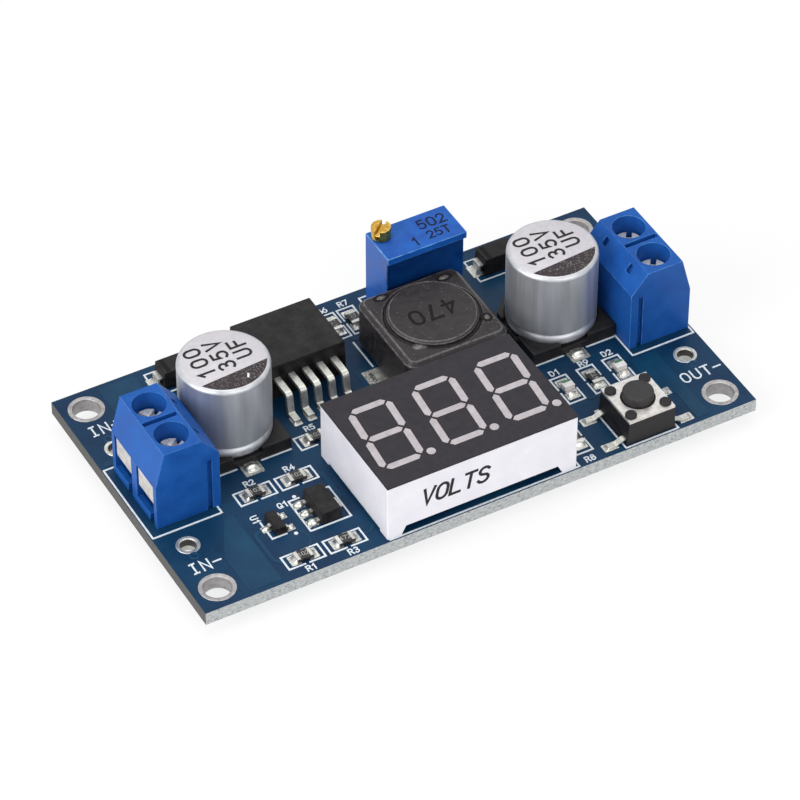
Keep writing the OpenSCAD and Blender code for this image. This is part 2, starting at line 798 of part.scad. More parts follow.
// Capacitors stand with the negative side to the front
module capacitor_can() {
  rim = 0.5;
  neck_r = can_r - 0.6;
  seat_z = cap_base_h - can_seat;
  roll_top = seat_z + can_roll;
  roll_z = seat_z + can_roll / 2;
  color(c_aluminium)
    rotate_extrude($fn = 96)
      polygon(concat(
        [[0, seat_z]],
        [for (a = [-90:15:60])
          [neck_r + (can_r - neck_r) * cos(a), roll_z + can_roll / 2 * sin(a)]],
        [[can_r - can_crimp, roll_top], [can_r, roll_top + can_crimp]],
        [for (a = [0:15:90]) [can_r - rim + rim * cos(a), can_top - rim + rim * sin(a)]],
        [[0, can_top]]));
}

module capacitor_tab() {
  start = cap_base / 8;
  translate([-cap_tab_w / 2, start, 0])
    cube([cap_tab_w, cap_base / 2 + cap_tab_out - start, cap_tab_t]);
}

module capacitor_tabs() {
  color(c_tin)
    for (turn = [0, 180])
      rotate(turn)
        capacitor_tab();
}

// The can's foot stands between four corner posts, open at the middle of each side
module capacitor_base() {
  bevel = 2.4;
  side_opening = 3.4;
  seat_fit = 0.05;
  half = cap_base / 2;
  color(c_black)
    difference() {
      linear_extrude(height = cap_base_h)
        polygon([[-half, -half], [half, -half], [half, half - bevel], [half - bevel, half],
                 [bevel - half, half], [-half, half - bevel]]);
      translate([0, 0, cap_base_h - can_seat]) {
        cylinder(h = can_seat + cut, r = can_r + seat_fit);
        for (turn = [0, 90])
          rotate(turn)
            slab(side_opening, cap_base + 2 * cut, can_seat + cut);
      }
      slab(cap_tab_w, cap_base + 2 * cut, cap_tab_t);
    }
}

// The regulator's leads come out to the front, its heat spreader to the back
module regulator_spreader_form() {
  head_w = reg_w - 0.2;
  head_l = 2;
  neck_w = reg_w - 2;
  neck_inset = 1;
  translate([-head_w / 2, reg_d / 2 - head_l, 0])
    cube([head_w, reg_tab_out + head_l, reg_tab_t]);
  translate([-neck_w / 2, neck_inset - reg_d / 2, 0])
    cube([neck_w, reg_d - 2 * neck_inset, reg_tab_t]);
}

module regulator_heat_spreader() {
  color(c_tin)
    on_board([reg_x, reg_y])
      regulator_spreader_form();
}

module regulator_lead_forms() {
  root = -0.8;
  bend = 2.4;
  foot = 2.75;
  for (k = [-2:2])
    translate([k * reg_pitch, -reg_d / 2, 0])
      rotate(-90)
        formed_lead(root, bend, foot, reg_lead_out, reg_lead_z, reg_lead_t, reg_lead_w);
}

module regulator_leads() {
  color(c_tin)
    on_board([reg_x, reg_y])
      regulator_lead_forms();
}

module regulator_body() {
  color(c_black)
    on_board([reg_x, reg_y])
      difference() {
        drafted_slab(reg_w, reg_d, reg_h, mould_draft, mould_draft);
        regulator_spreader_form();
        regulator_lead_forms();
      }
}

module inductor_clip_forms() {
  root = ind_w / 5;
  for (turn = [0, 180])
    rotate(turn)
      translate([root, -ind_clip_w / 2, 0])
        cube([ind_w / 2 + ind_clip_out - root, ind_clip_w, ind_clip_t]);
}

module inductor_clips() {
  color(c_tin)
    on_board([ind_x, ind_y])
      inductor_clip_forms();
}

module inductor_base() {
  base_w = ind_w - 0.6;
  color(c_black)
    on_board([ind_x, ind_y])
      translate([0, 0, ind_clip_t])
        rounded_slab(base_w, base_w, ind_base_t, ind_corner);
}

module inductor_shield() {
  foot_z = ind_clip_t + ind_base_t;
  color(c_ferrite)
    on_board([ind_x, ind_y])
      translate([0, 0, foot_z])
        difference() {
          union() {
            rounded_slab(ind_w, ind_w, ind_h - foot_z - ind_bevel, ind_corner);
            translate([0, 0, ind_h - foot_z - ind_bevel])
              bevelled_slab(ind_w, ind_corner, ind_bevel);
          }
          translate([0, 0, -cut])
            cylinder(h = ind_h + 2 * cut, r = ind_bore_r);
        }
}

module inductor_drum() {
  foot_z = ind_clip_t + ind_base_t;
  top_z = ind_h + drum_rise;
  edge = 0.25;
  color(c_ferrite)
    on_board([ind_x, ind_y])
      rotate_extrude()
        polygon([[0, foot_z], [drum_r, foot_z], [drum_r, foot_z + drum_flange],
                 [drum_post_r, foot_z + drum_flange], [drum_post_r, ind_h - drum_flange],
                 [drum_r, ind_h - drum_flange], [drum_r, top_z - edge], [drum_r - edge, top_z],
                 [0, top_z]]);
}

module inductor_winding() {
  low = ind_clip_t + ind_base_t + drum_flange;
  color(c_copper)
    on_board([ind_x, ind_y])
      translate([0, 0, low])
        difference() {
          cylinder(h = ind_h - drum_flange - low, r = winding_r);
          translate([0, 0, -cut])
            cylinder(h = ind_h + 2 * cut, r = drum_post_r);
        }
}

// The trimmer's pivot points to the front, its screw stands at the back left
module on_wheel_axis(y) {
  translate([wheel_x, y, wheel_z])
    rotate([90, 0, 0])
      children();
}

module trimmer_housing() {
  foot_w = 1;
  color(c_blue)
    on_board([trim_x, trim_y]) {
      difference() {
        union() {
          translate([0, 0, trim_foot])
            slab(trim_w, trim_d, trim_h);
          translate([-trim_w / 2, -trim_d / 2 - trim_lip, trim_foot + trim_h - trim_lip_h])
            cube([trim_w + trim_lip, trim_d + trim_lip, trim_lip_h]);
          for (x = [-1, 1], y = [-1, 1])
            translate([x * (trim_w - foot_w) / 2, y * (trim_d - trim_wall) / 2, 0])
              slab(foot_w, trim_wall, trim_foot);
        }
        translate([0, 0, trim_foot - cut])
          slab(trim_cavity_w, trim_cavity_d, trim_h - trim_top + cut);
        translate([trim_screw_x, trim_screw_y, trim_h - trim_top])
          cylinder(h = trim_top + trim_foot + cut, r = trim_shaft_r + run_gap);
      }
      on_wheel_axis(trim_cavity_d / 2)
        cylinder(h = trim_cavity_d / 2 - hub_front_y, r = pivot_r);
    }
}

module trimmer_base() {
  color(c_black)
    on_board([trim_x, trim_y])
      difference() {
        translate([0, 0, trim_foot])
          slab(trim_cavity_w, trim_cavity_d, trim_base_t);
        for (p = trim_pins)
          translate([p[0] - trim_x, p[1] - trim_y, 0])
            cylinder(h = trim_foot + trim_base_t + cut, r = p[2]);
      }
}

// The screw's shaft carries the worm down to the base
module trimmer_screw() {
  slot = [0.5, 0.6];
  top_z = trim_foot + trim_h;
  foot_z = trim_foot + trim_base_t + run_gap;
  color(c_brass)
    on_board([trim_x + trim_screw_x, trim_y + trim_screw_y])
      difference() {
        union() {
          translate([0, 0, foot_z])
            cylinder(h = top_z + run_gap - foot_z, r = trim_shaft_r);
          translate([0, 0, top_z + run_gap])
            cylinder(h = trim_head_h, r = trim_head_r);
        }
        translate([0, 0, top_z + run_gap + trim_head_h - slot[1]])
          rotate(40)
            slab(2 * trim_head_r + 2 * cut, slot[0], slot[1] + cut);
      }
}

module trimmer_wheel() {
  hub_r = 1.5;
  tooth_cut_r = PI * wheel_r / wheel_teeth / 2;
  wheel_back_y = trim_screw_y + wheel_t / 2;
  color(c_white)
    on_board([trim_x, trim_y])
      difference() {
        union() {
          on_wheel_axis(wheel_back_y)
            cylinder(h = wheel_t, r = wheel_r);
          on_wheel_axis(wheel_back_y)
            cylinder(h = wheel_back_y - hub_front_y, r = hub_r);
        }
        on_wheel_axis(trim_d)
          cylinder(h = 2 * trim_d, r = pivot_r + run_gap);
        for (k = [0:wheel_teeth - 1])
          on_wheel_axis(trim_d)
            rotate(k * 360 / wheel_teeth)
              translate([wheel_r, 0, 0])
                cylinder(h = 2 * trim_d, r = tooth_cut_r, $fn = 16);
      }
}

// A spring ring on the hub with one finger that slides on the resistor plate
module trimmer_wiper() {
  ring_r = 1.5;
  finger = [3, 0.8];
  color(c_nickel)
    on_board([trim_x, trim_y])
      on_wheel_axis(hub_front_y)
        difference() {
          union() {
            cylinder(h = wiper_t, r = ring_r);
            translate([0, -finger[1] / 2, 0])
              cube([finger[0], finger[1], wiper_t]);
          }
          translate([0, 0, -cut])
            cylinder(h = wiper_t + 2 * cut, r = pivot_r + run_gap);
        }
}

module trimmer_element() {
  low = trim_foot + trim_base_t;
  color(c_ceramic)
    on_board([trim_x, trim_y])
      translate([0, element_back_y - element_t / 2, low])
        slab(trim_cavity_w - 2 * run_gap, element_t, trim_foot + trim_h - trim_top - low - run_gap);
}

module trimmer_pins() {
  pin_rise = 0.8;
  rise = trim_foot + trim_base_t + pin_rise;
  color(c_tin)
    for (p = trim_pins)
      translate([p[0], p[1], -pin_tail])
        cylinder(h = pin_tail + pcb_t + rise, r = p[2]);
}

// One bar of a digit: a strip with pointed ends
module bar_outline(length, grow) {
  half = length / 2 - bar_gap / sqrt(2) + grow;
  w = bar_w / 2 + grow;
  polygon([[-half, 0], [w - half, w], [half - w, w], [half, 0], [half - w, -w], [w - half, -w]]);
}

// The seven bars of a digit and its decimal point
module digit_outline(grow) {
  half_h = digit_h / 2;
  lean = -tan(slant);
  for (row = [-1, 0, 1])
    translate([-row * half_h * lean, row * half_h])
      bar_outline(digit_w, grow);
  for (side = [-1, 1], row = [-1, 1])
    translate([side * digit_w / 2 - row * half_h / 2 * lean, row * half_h / 2])
      rotate(90 + atan(lean))
        bar_outline(half_h, grow);
  translate([digit_w / 2 + dot_shift, -half_h])
    circle(r = dot_r + grow);
}

// The bars of all digits, standing from z = low to z = high
module digit_bars(low, high, grow = 0) {
  for (x = digits_x)
    translate([x, 0, low])
      linear_extrude(height = high - low)
        digit_outline(grow);
}

module display_case() {
  long_half = display_w / 2 - corner_foot;
  short_half = display_d / 2 - corner_foot;
  pocket_w = display_w - 2 * case_wall;
  pocket_d = display_d - 2 * case_wall;
  color(c_white)
    on_board([display_x, display_y])
      difference() {
        slab(display_w, display_d, case_top_z);
        along_y(display_d + 2 * cut)
          polygon([[-long_half, -cut], [long_half, -cut], [long_half, 0],
                   [long_half - long_gap / 2, long_gap], [long_gap / 2 - long_half, long_gap],
                   [-long_half, 0]]);
        translate([0, 0, -cut])
          slab(display_w + 2 * cut, 2 * short_half, short_gap + cut);
        translate([0, 0, -cut])
          slab(pocket_w, pocket_d, carrier_z + carrier_t + cut);
        digit_bars(carrier_z, display_h, bar_fit);
      }
}

module display_face() {
  color(c_ferrite)
    on_board([display_x, display_y])
      difference() {
        translate([0, 0, case_top_z])
          slab(display_w, display_d, face_t);
        digit_bars(carrier_z, display_h + cut, bar_fit);
      }
}

module display_bars() {
  color(c_bar)
    on_board([display_x, display_y])
      digit_bars(bar_z, display_h);
}

module display_carrier() {
  fit = 0.1;
  color(c_carrier)
    difference() {
      on_board([display_x, display_y])
        translate([0, 0, carrier_z])
          slab(display_w - 2 * case_wall - 2 * fit, display_d - 2 * case_wall - 2 * fit, carrier_t);
      for (p = display_pins_at)
        translate([p[0], p[1], 0])
          cylinder(h = pcb_t + carrier_z + carrier_t + cut, r = p[2]);
    }
}

module display_pins() {
  color(c_tin)
    for (p = display_pins_at)
      translate([p[0], p[1], -pin_tail])
        cylinder(h = pin_tail + pcb_t + carrier_z + carrier_t, r = p[2]);
}

// The switch's leads leave its left and right sides
module at_rivets() {
  for (x = [-1, 1], y = [-1, 1])
    translate([x * rivet_offset, y * rivet_offset, 0])
      children();
}

module switch_lead_forms() {
  root = switch_w / 2 - 0.6;
  bend = switch_w / 2 + 0.3;
  foot = switch_w / 2 + 0.9;
  rise = 0.5;
  for (turn = [0, 180], side = [-1, 1])
    rotate(turn)
      translate([0, side * switch_lead_offset, 0])
        formed_lead(root, bend, foot, switch_lead_reach, rise, switch_lead_t, switch_lead_w);
}

module switch_base() {
  rivet_top = 0.3;
  base_h = switch_h - cover_t;
  color(c_black)
    on_board([switch_x, switch_y])
      difference() {
        union() {
          drafted_slab(switch_w, switch_w, base_h, switch_draft, 0);
          at_rivets()
            cylinder(h = switch_h + rivet_top, r = rivet_r);
        }
        translate([0, 0, switch_floor_z])
          cylinder(h = switch_h, r = button_flange_r + button_gap);
        switch_lead_forms();
      }
}

module switch_cover() {
  color(c_nickel)
    on_board([switch_x, switch_y])
      translate([0, 0, switch_h - cover_t])
        difference() {
          slab(switch_w - 2 * switch_draft, switch_w, cover_t);
          translate([0, 0, -cut])
            cylinder(h = cover_t + 2 * cut, r = button_r + cover_gap);
          at_rivets()
            translate([0, 0, -cut])
              cylinder(h = cover_t + 2 * cut, r = rivet_r);
        }
}

// The button, its flange under the cover and the nub on the dome
module switch_button() {
  flange_top = switch_h - cover_t - run_gap;
  flange_z = flange_top - button_flange_t;
  edge = 0.15;
  nub_r = 0.7;
  color(c_black)
    on_board([switch_x, switch_y])
      rotate_extrude()
        polygon([[0, flange_z - nub_h], [nub_r, flange_z - nub_h], [nub_r, flange_z],
                 [button_flange_r, flange_z], [button_flange_r, flange_top], [button_r, flange_top],
                 [button_r, switch_h + button_h - edge], [button_r - edge, switch_h + button_h],
                 [0, switch_h + button_h]]);
}

// A domed disc of spring steel on the floor of the switch's pocket
module switch_dome() {
  rim_r = button_flange_r - button_gap;
  rise = switch_h - cover_t - 2 * run_gap - button_flange_t - nub_h - nub_gap - switch_floor_z;
  t = 0.1;
  color(c_nickel)
    on_board([switch_x, switch_y])
      rotate_extrude()
        polygon(concat(
          [for (k = [0:8]) [rim_r * k / 8, switch_floor_z + rise * (1 - pow(k / 8, 2))]],
          [for (k = [8:-1:0]) [rim_r * k / 8, switch_floor_z + t + rise * (1 - pow(k / 8, 2))]]));
}

module switch_leads() {
  color(c_tin)
    on_board([switch_x, switch_y])
      switch_lead_forms();
}

// A moulded diode lies along X, with a tinned strip wrapped under each end
module diode_lead_forms() {
  strip = [1.2, 1.45, 0.25];
  rise = 1;
  out = 0.45;
  root = 0.4;
  for (turn = [0, 180])
    rotate(turn)
      translate([diode_l / 2 - strip[0] + out, -strip[1] / 2, 0]) {
        cube([strip[0], strip[1], strip[2]]);
        translate([strip[0] - strip[2], 0, 0])
          cube([strip[2], strip[1], rise]);
        translate([strip[0] - out - root, 0, rise])
          cube([out + root, strip[1], strip[2]]);
      }
}

module diode_body() {
  color(c_black)
    difference() {
      drafted_slab(diode_l, diode_w, diode_h, mould_draft, mould_draft);
      diode_lead_forms();
    }
}

module diode_leads() {
  color(c_tin)
    diode_lead_forms();
}

// The transistor has three leads to the left and its tab to the right
module transistor_lead_forms() {
  t = 0.4;
  pitch = 1.5;
  out = 0.9;
  root = 0.5;
  lead_w = 0.5;
  tab_w = 1.45;
  tab_out = 0.3;
  for (k = [-1:1])
    translate([-transistor_w / 2 - out, k * pitch - lead_w / 2, 0])
      cube([out + root, lead_w, t]);
  translate([root - transistor_w / 2, -tab_w / 2, 0])
    cube([transistor_w - root + tab_out, tab_w, t]);
}

module transistor_body() {
  color(c_black)
    on_board(transistor_at)
      difference() {
        drafted_slab(transistor_w, transistor_l, transistor_h, mould_draft, mould_draft);
        transistor_lead_forms();
      }
}

module transistor_leads() {
  color(c_tin)
    on_board(transistor_at)
      transistor_lead_forms();
}

// The reference chip has one lead to the left and two to the right
module reference_lead_forms() {
  pitch = 1.9;
  root = reference_w / 2 - 0.2;
  bend = reference_w / 2 + 0.15;
  foot = reference_w / 2 + 0.35;
  reach = reference_w / 2 + 0.75;
  rise = 0.45;
  t = 0.12;
  lead_w = 0.45;
  for (lead = [[180, 0], [0, -pitch / 2], [0, pitch / 2]])
    translate([0, lead[1], 0])
      rotate(lead[0])
        formed_lead(root, bend, foot, reach, rise, t, lead_w);
}

module reference_body() {
  color(c_black)
    on_board(reference_at)
      difference() {
        drafted_slab(reference_w, reference_l, reference_h, mould_draft / 2, mould_draft / 2);
        reference_lead_forms();
      }
}

module reference_leads() {
  color(c_tin)
    on_board(reference_at)
      reference_lead_forms();
}

module meter_lead_forms() {
  root = meter_w / 2 - 0.3;
  bend = meter_w / 2 + 0.2;
  foot = meter_w / 2 + 0.4;
  rise = 0.4;
  for (turn = [90, 270], k = [0:meter_lead_count - 1])
    rotate(turn)
      translate([0, (k - (meter_lead_count - 1) / 2) * meter_pitch, 0])
        formed_lead(root, bend, foot, meter_lead_reach, rise, meter_lead_t, meter_lead_w);
}

module meter_body() {
  color(c_black)
    on_board([display_x, display_y])
      difference() {
        drafted_slab(meter_l, meter_w, meter_h, mould_draft / 2, mould_draft / 2);
        meter_lead_forms();
      }
}

module meter_leads() {
  color(c_tin)
    on_board([display_x, display_y])
      meter_lead_forms();
}

// A chip's body, thinned at its ends for the caps that wrap them
module chip_body(h) {
  slab(chip_l - 2 * chip_cap_l, chip_w, h);
  translate([0, 0, chip_cap_t])
    slab(chip_l - 2 * chip_cap_t, chip_w, h - 2 * chip_cap_t);
}

module chip_end_caps(h) {
  difference() {
    slab(chip_l, chip_w, h);
    chip_body(h);
    translate([0, 0, -cut])
      slab(chip_l - 2 * chip_cap_l, chip_w + 2 * cut, h + 2 * cut);
  }
}

module resistor_chips() {
  color(c_black)
    for (p = resistors_at)
      on_board(p, p[2])
        chip_body(chip_h);
}

module resistor_end_caps() {
  color(c_tin)
    for (p = resistors_at)
      on_board(p, p[2])
        chip_end_caps(chip_h);
}

module indicator_bases() {
  color(c_tin)
    for (p = indicators_at)
      on_board(p, p[2])
        slab(chip_l, chip_w, led_base_h);
}

module indicator_lenses() {
  lens_l = chip_l - 2 * chip_cap_l;
  color(c_lens)
    for (p = indicators_at)
      on_board(p, p[2])
        translate([0, 0, led_base_h])
          drafted_slab(lens_l, chip_w, led_h - led_base_h, mould_draft, 0);
}

circuit_board();
hole_plating();
solder_joints();
at_input_terminal() terminal_housing();  // input_terminal_housing
at_input_terminal() terminal_contacts();  // input_terminal_contacts
at_input_terminal() at_pole(1) terminal_screw();  // input_screw_plus
at_input_terminal() at_pole(-1) terminal_screw();  // input_screw_minus
at_input_terminal() at_pole(1) terminal_clamp();  // input_clamp_plus
at_input_terminal() at_pole(-1) terminal_clamp();  // input_clamp_minus
at_output_terminal() mirror([0, 1, 0]) terminal_housing();  // output_terminal_housing
at_output_terminal() terminal_contacts();  // output_terminal_contacts
at_output_terminal() at_pole(1) terminal_screw();  // output_screw_plus
at_output_terminal() at_pole(-1) terminal_screw();  // output_screw_minus
at_output_terminal() at_pole(1) terminal_clamp();  // output_clamp_plus
at_output_terminal() at_pole(-1) terminal_clamp();  // output_clamp_minus
on_board([in_cap_x, in_cap_y]) capacitor_can();  // input_capacitor_can
on_board([in_cap_x, in_cap_y]) capacitor_base();  // input_capacitor_base
on_board([in_cap_x, in_cap_y]) capacitor_tabs();  // input_capacitor_tabs
on_board([out_cap_x, out_cap_y]) capacitor_can();  // output_capacitor_can
on_board([out_cap_x, out_cap_y]) capacitor_base();  // output_capacitor_base
on_board([out_cap_x, out_cap_y]) capacitor_tabs();  // output_capacitor_tabs
regulator_body();
regulator_heat_spreader();
regulator_leads();
inductor_shield();
inductor_drum();
inductor_winding();
inductor_base();
inductor_clips();
trimmer_housing();
trimmer_base();
trimmer_screw();
trimmer_wheel();
trimmer_wiper();
trimmer_element();
trimmer_pins();
display_case();
display_face();
display_bars();
display_carrier();
display_pins();
switch_base();
switch_cover();
switch_button();
switch_dome();
switch_leads();
on_board(in_diode_at) diode_body();  // input_diode_body
on_board(in_diode_at) diode_leads();  // input_diode_leads
on_board(out_diode_at) diode_body();  // output_diode_body
on_board(out_diode_at) diode_leads();  // output_diode_leads
transistor_body();
transistor_leads();
reference_body();
reference_leads();
meter_body();
meter_leads();
resistor_chips();
resistor_end_caps();
indicator_bases();
indicator_lenses();
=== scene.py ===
"""Looks of a step-up converter module: the dressed part, its floor, light and camera.

Sizes are written in millimetres, in the frame of the CAD part, and become metres when a mesh is made.
"""
import json
import math

import bmesh
import bpy
import numpy as np
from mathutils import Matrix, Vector


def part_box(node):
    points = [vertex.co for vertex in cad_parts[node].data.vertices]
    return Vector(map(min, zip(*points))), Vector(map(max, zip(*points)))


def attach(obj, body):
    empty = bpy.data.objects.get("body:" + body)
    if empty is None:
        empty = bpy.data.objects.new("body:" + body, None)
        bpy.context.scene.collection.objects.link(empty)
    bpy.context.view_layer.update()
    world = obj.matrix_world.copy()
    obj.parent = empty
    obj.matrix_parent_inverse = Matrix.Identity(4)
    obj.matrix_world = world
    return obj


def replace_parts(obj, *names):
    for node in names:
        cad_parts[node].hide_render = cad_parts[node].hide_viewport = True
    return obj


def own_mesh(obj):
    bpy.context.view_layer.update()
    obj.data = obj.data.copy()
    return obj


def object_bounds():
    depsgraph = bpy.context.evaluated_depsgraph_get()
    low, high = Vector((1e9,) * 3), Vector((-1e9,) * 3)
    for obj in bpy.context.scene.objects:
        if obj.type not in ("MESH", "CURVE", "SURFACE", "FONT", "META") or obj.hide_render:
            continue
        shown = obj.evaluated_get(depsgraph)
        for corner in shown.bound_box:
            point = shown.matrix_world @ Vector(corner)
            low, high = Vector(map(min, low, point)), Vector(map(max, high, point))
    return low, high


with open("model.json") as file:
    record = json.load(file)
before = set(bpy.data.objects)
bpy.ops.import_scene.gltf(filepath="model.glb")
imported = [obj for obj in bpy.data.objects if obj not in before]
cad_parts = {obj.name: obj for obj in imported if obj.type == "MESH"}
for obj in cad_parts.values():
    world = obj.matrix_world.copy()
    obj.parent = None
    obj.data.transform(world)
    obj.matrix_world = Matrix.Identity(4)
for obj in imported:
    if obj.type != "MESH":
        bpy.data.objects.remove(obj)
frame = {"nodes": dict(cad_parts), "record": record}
cad_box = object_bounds()

MM = 0.001
RECORD = frame["record"]
BODY = {node: body for body, nodes in RECORD["behaviour"]["bodies"].items() for node in nodes}
MOUNTS = {row["name"]: row for row in RECORD["mounts"]}

# Thickness of ink on the board, of print on a part, of copper under the mask, and of tinned pads
INK, PRINT, COPPER, PAD = 0.05, 0.012, 0.035, 0.06
# Faces that meet at less than the first angle are shaded as one; edges over the second get a round
SMOOTH, SHARP = math.radians(35), math.radians(32)
# Triangles that meet at less than this angle are one face; a face with more than this share of its normal
# upright counts as level
ONE_FACE, LEVEL_FACE = math.radians(0.5), 0.5
# Points of a shape's pole and of a CAD mesh's seams are merged within these distances, in metres
POLE, SEAM = 1e-8, 1e-7
# Points within this height lie on the same level
SAME_LEVEL = 0.001


# Reading the frame

def corners(node):
    """The vertices of a CAD node in millimetres."""
    mesh = frame["nodes"][node].data
    flat = np.empty(3 * len(mesh.vertices), np.float32)
    mesh.vertices.foreach_get("co", flat)
    return flat.reshape(-1, 3).astype(float) / MM


def box(node):
    """The lowest and highest corner of a CAD node in millimetres."""
    low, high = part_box(node)
    return np.array(low) / MM, np.array(high) / MM


def solids(node):
    """The lowest and highest corner of each separate solid in a node, from left to right.

    Equal vertices share a number. Each triangle gives its corners the lowest number among them, until
    no number changes; the vertices with one number are then one solid.
    """
    mesh = frame["nodes"][node].data
    points = corners(node)
    same, number = np.unique(points.round(3), axis=0, return_inverse=True)
    loops = np.empty(len(mesh.loops), np.int32)
    mesh.loops.foreach_get("vertex_index", loops)
    triangles = number.reshape(-1)[loops].reshape(-1, 3)
    group = np.arange(len(same))
    while True:
        lowest = group.copy()
        np.minimum.at(lowest, triangles, group[triangles].min(axis=1, keepdims=True))
        if np.array_equal(lowest, group):
            break
        group = lowest
    return [(same[group == k].min(axis=0), same[group == k].max(axis=0)) for k in np.unique(group)]


def mid(low, high):
    """The middle of a box, seen from above."""
    return ((low + high) / 2)[:2]


def lie(low, high):
    """How a chip lies, seen from above: its middle, its long direction, half its length, and its width."""
    half = ((high - low) / 2)[:2]
    along = np.array([1.0, 0.0]) if half[0] > half[1] else np.array([0.0, 1.0])
    return mid(low, high), along, max(half), 2 * min(half)


# Shapes: each is a pair of points, an array of places in mm, and faces, a list of index arrays

def loft(rings, ends="cap"):
    """A skin over closed rings of points: each ring is joined to the next, point by point.

    rings has the shape (rings, points of a ring, 3). The first and last ring get a cap, or are joined.
    """
    count, around = rings.shape[:2]
    here = np.arange(count * around).reshape(count, around)
    beside = np.roll(here, -1, axis=1)
    above, corner = np.roll(here, -1, axis=0), np.roll(beside, -1, axis=0)
    rows = slice(None) if ends == "join" else slice(count - 1)
    faces = [np.stack([here, beside, corner, above], axis=-1)[rows].reshape(-1, 4)]
    if ends == "cap":
        faces.append(np.stack([here[0, ::-1], here[-1]]))
    return rings.reshape(-1, 3), faces


def plane(origin, right, up):
    """A drawing plane: its origin, and its directions to the right, up and outwards."""
    right, up = np.asarray(right, float), np.asarray(up, float)
    return np.asarray(origin, float), right, up, np.cross(right, up)


def level(at, height):
    """A drawing plane that faces up, with its right along X and its up along Y."""
    return plane((*at, height), (1, 0, 0), (0, 1, 0))


def lift(flat, height, on):
    """Points (right, up) on a drawing plane, moved outwards by their heights."""
    origin, right, up, out = on
    return origin + flat[..., :1] * right + flat[..., 1:] * up + np.asarray(height)[..., None] * out


def plate(outline, thick, on):
    """A flat plate: an outline on a plane, carried outwards by its thickness."""
    flat = np.broadcast_to(np.asarray(outline, float), (2, len(outline), 2))
    height = np.broadcast_to(np.array([[0.0], [thick]]), flat.shape[:2])
    return loft(lift(flat, height, on))


def rounded(points, radius, steps=6):
    """A path whose inner corners become parabolas that start and end at the radius from the corner."""
    points = np.asarray(points, float)
    step = np.diff(points, axis=0)
    step /= np.linalg.norm(step, axis=1, keepdims=True)
    corner = points[1:-1, None]
    start, end = corner - step[:-1, None] * radius, corner + step[1:, None] * radius
    t = np.linspace(0, 1, steps)[None, :, None]
    curve = (1 - t) ** 2 * start + 2 * t * (1 - t) * corner + t ** 2 * end
    return np.vstack([points[:1], curve.reshape(-1, 2), points[-1:]])


def rectangle(middle, size, radius, steps=5):
    """The outline of a rectangle with round corners, as four quarter circles."""
    turn = np.radians(np.linspace(0, 90, steps)[None, :] + np.arange(0, 360, 90)[:, None])
    sign = np.array([[1, 1], [-1, 1], [-1, -1], [1, -1]])[:, None]
    arcs = np.stack([np.cos(turn), np.sin(turn)], axis=-1) * radius
    return (np.asarray(middle) + sign * (np.asarray(size) / 2 - radius) + arcs).reshape(-1, 2)


def ribbon(path, width, thick, on, overrun=0.0, swell=0.0):
    """A strip along a path on a plane: its edges lie half the width away, along the mitre of each corner.

    Its thickness grows evenly by the share swell on the way, so that a stroke can cross itself cleanly.
    Repeated points are dropped, and the mitre of a very sharp corner is cut short.
    """
    same, shortest = 1e-6, 0.4
    path = np.asarray(path, float)
    path = path[np.r_[True, np.linalg.norm(np.diff(path, axis=0), axis=1) > same]].copy()
    step = np.diff(path, axis=0)
    step /= np.linalg.norm(step, axis=1, keepdims=True)
    path[0] -= step[0] * overrun
    path[-1] += step[-1] * overrun
    before, after = np.vstack([step[:1], step]), np.vstack([step, step[-1:]])
    mitre = (before + after)[:, ::-1] * (-1, 1)
    mitre /= np.linalg.norm(mitre, axis=1, keepdims=True)
    share = np.maximum((mitre * before[:, ::-1] * (-1, 1)).sum(axis=1), shortest)
    edge = mitre * (width / 2 / share)[:, None]
    flat = np.stack([path + edge, path - edge, path - edge, path + edge], axis=1)
    height = thick * np.linspace(1, 1 + swell, len(path))[:, None] * (0, 0, 1, 1)
    return loft(lift(flat, height, on))


def lathe(profile, centre, around=72):
    """A profile of (radius, height) pairs turned about an upright axis, capped at its two ends."""
    radius, height = np.asarray(profile, float).T[..., None]
    turn = np.linspace(0, 2 * np.pi, around, endpoint=False)
    ring = np.stack([radius * np.cos(turn), radius * np.sin(turn), height + 0 * turn], axis=-1)
    return loft(ring + np.array([centre[0], centre[1], 0]))


def tube(section, centre, around=48):
    """A closed section of (radius, height) pairs turned once round an upright axis."""
    radius, height = np.asarray(section, float).T
    turn = np.linspace(0, 2 * np.pi, around, endpoint=False)[:, None]
    ring = np.stack([radius * np.cos(turn), radius * np.sin(turn), height + 0 * turn], axis=-1)
    return loft(ring + np.array([centre[0], centre[1], 0]), ends="join")


def fillet(at, out, length, width, height):
    """Solder that runs down from a face: half ellipses whose height falls as (1 - s) squared on the way out.

    It narrows by its taper towards the end, where a thin edge is left, and its section is fuller than an
    ellipse because full is below 1.
    """
    taper, full, end = 0.3, 0.8, 1.05
    s, t = np.linspace(0, 1, 9)[:, None], np.linspace(0, np.pi, 15)[None, :]
    out = np.array([*out, 0.0])
    side = np.cross((0, 0, 1), out)
    rise = height * (1 - s) ** 2 + PAD * np.sqrt(end - s)
    half = width / 2 * (1 - taper * s ** 4)
    ring = (out * (length * s)[..., None] + side * (half * np.cos(t))[..., None]
            + np.array([0, 0, 1]) * (rise * np.sin(t) ** full)[..., None])
    return loft(ring + np.asarray(at))


def dome(at, size, height, steps=7, around=24):
    """A blob of solder or glue: ellipses that shrink as the cosine while they rise as the sine.

    The last ellipse lies just short of the top, where its cap closes the blob.
    """
    last = 0.48 * np.pi
    lean = np.linspace(0, last, steps)[:, None]
    turn = np.linspace(0, 2 * np.pi, around, endpoint=False)[None, :]
    ring = np.stack([np.cos(lean) * np.cos(turn) * size[0] / 2, np.cos(lean) * np.sin(turn) * size[1] / 2,
                     np.sin(lean) * height + 0 * turn], axis=-1)
    return loft(ring + np.asarray(at))


# Pieces

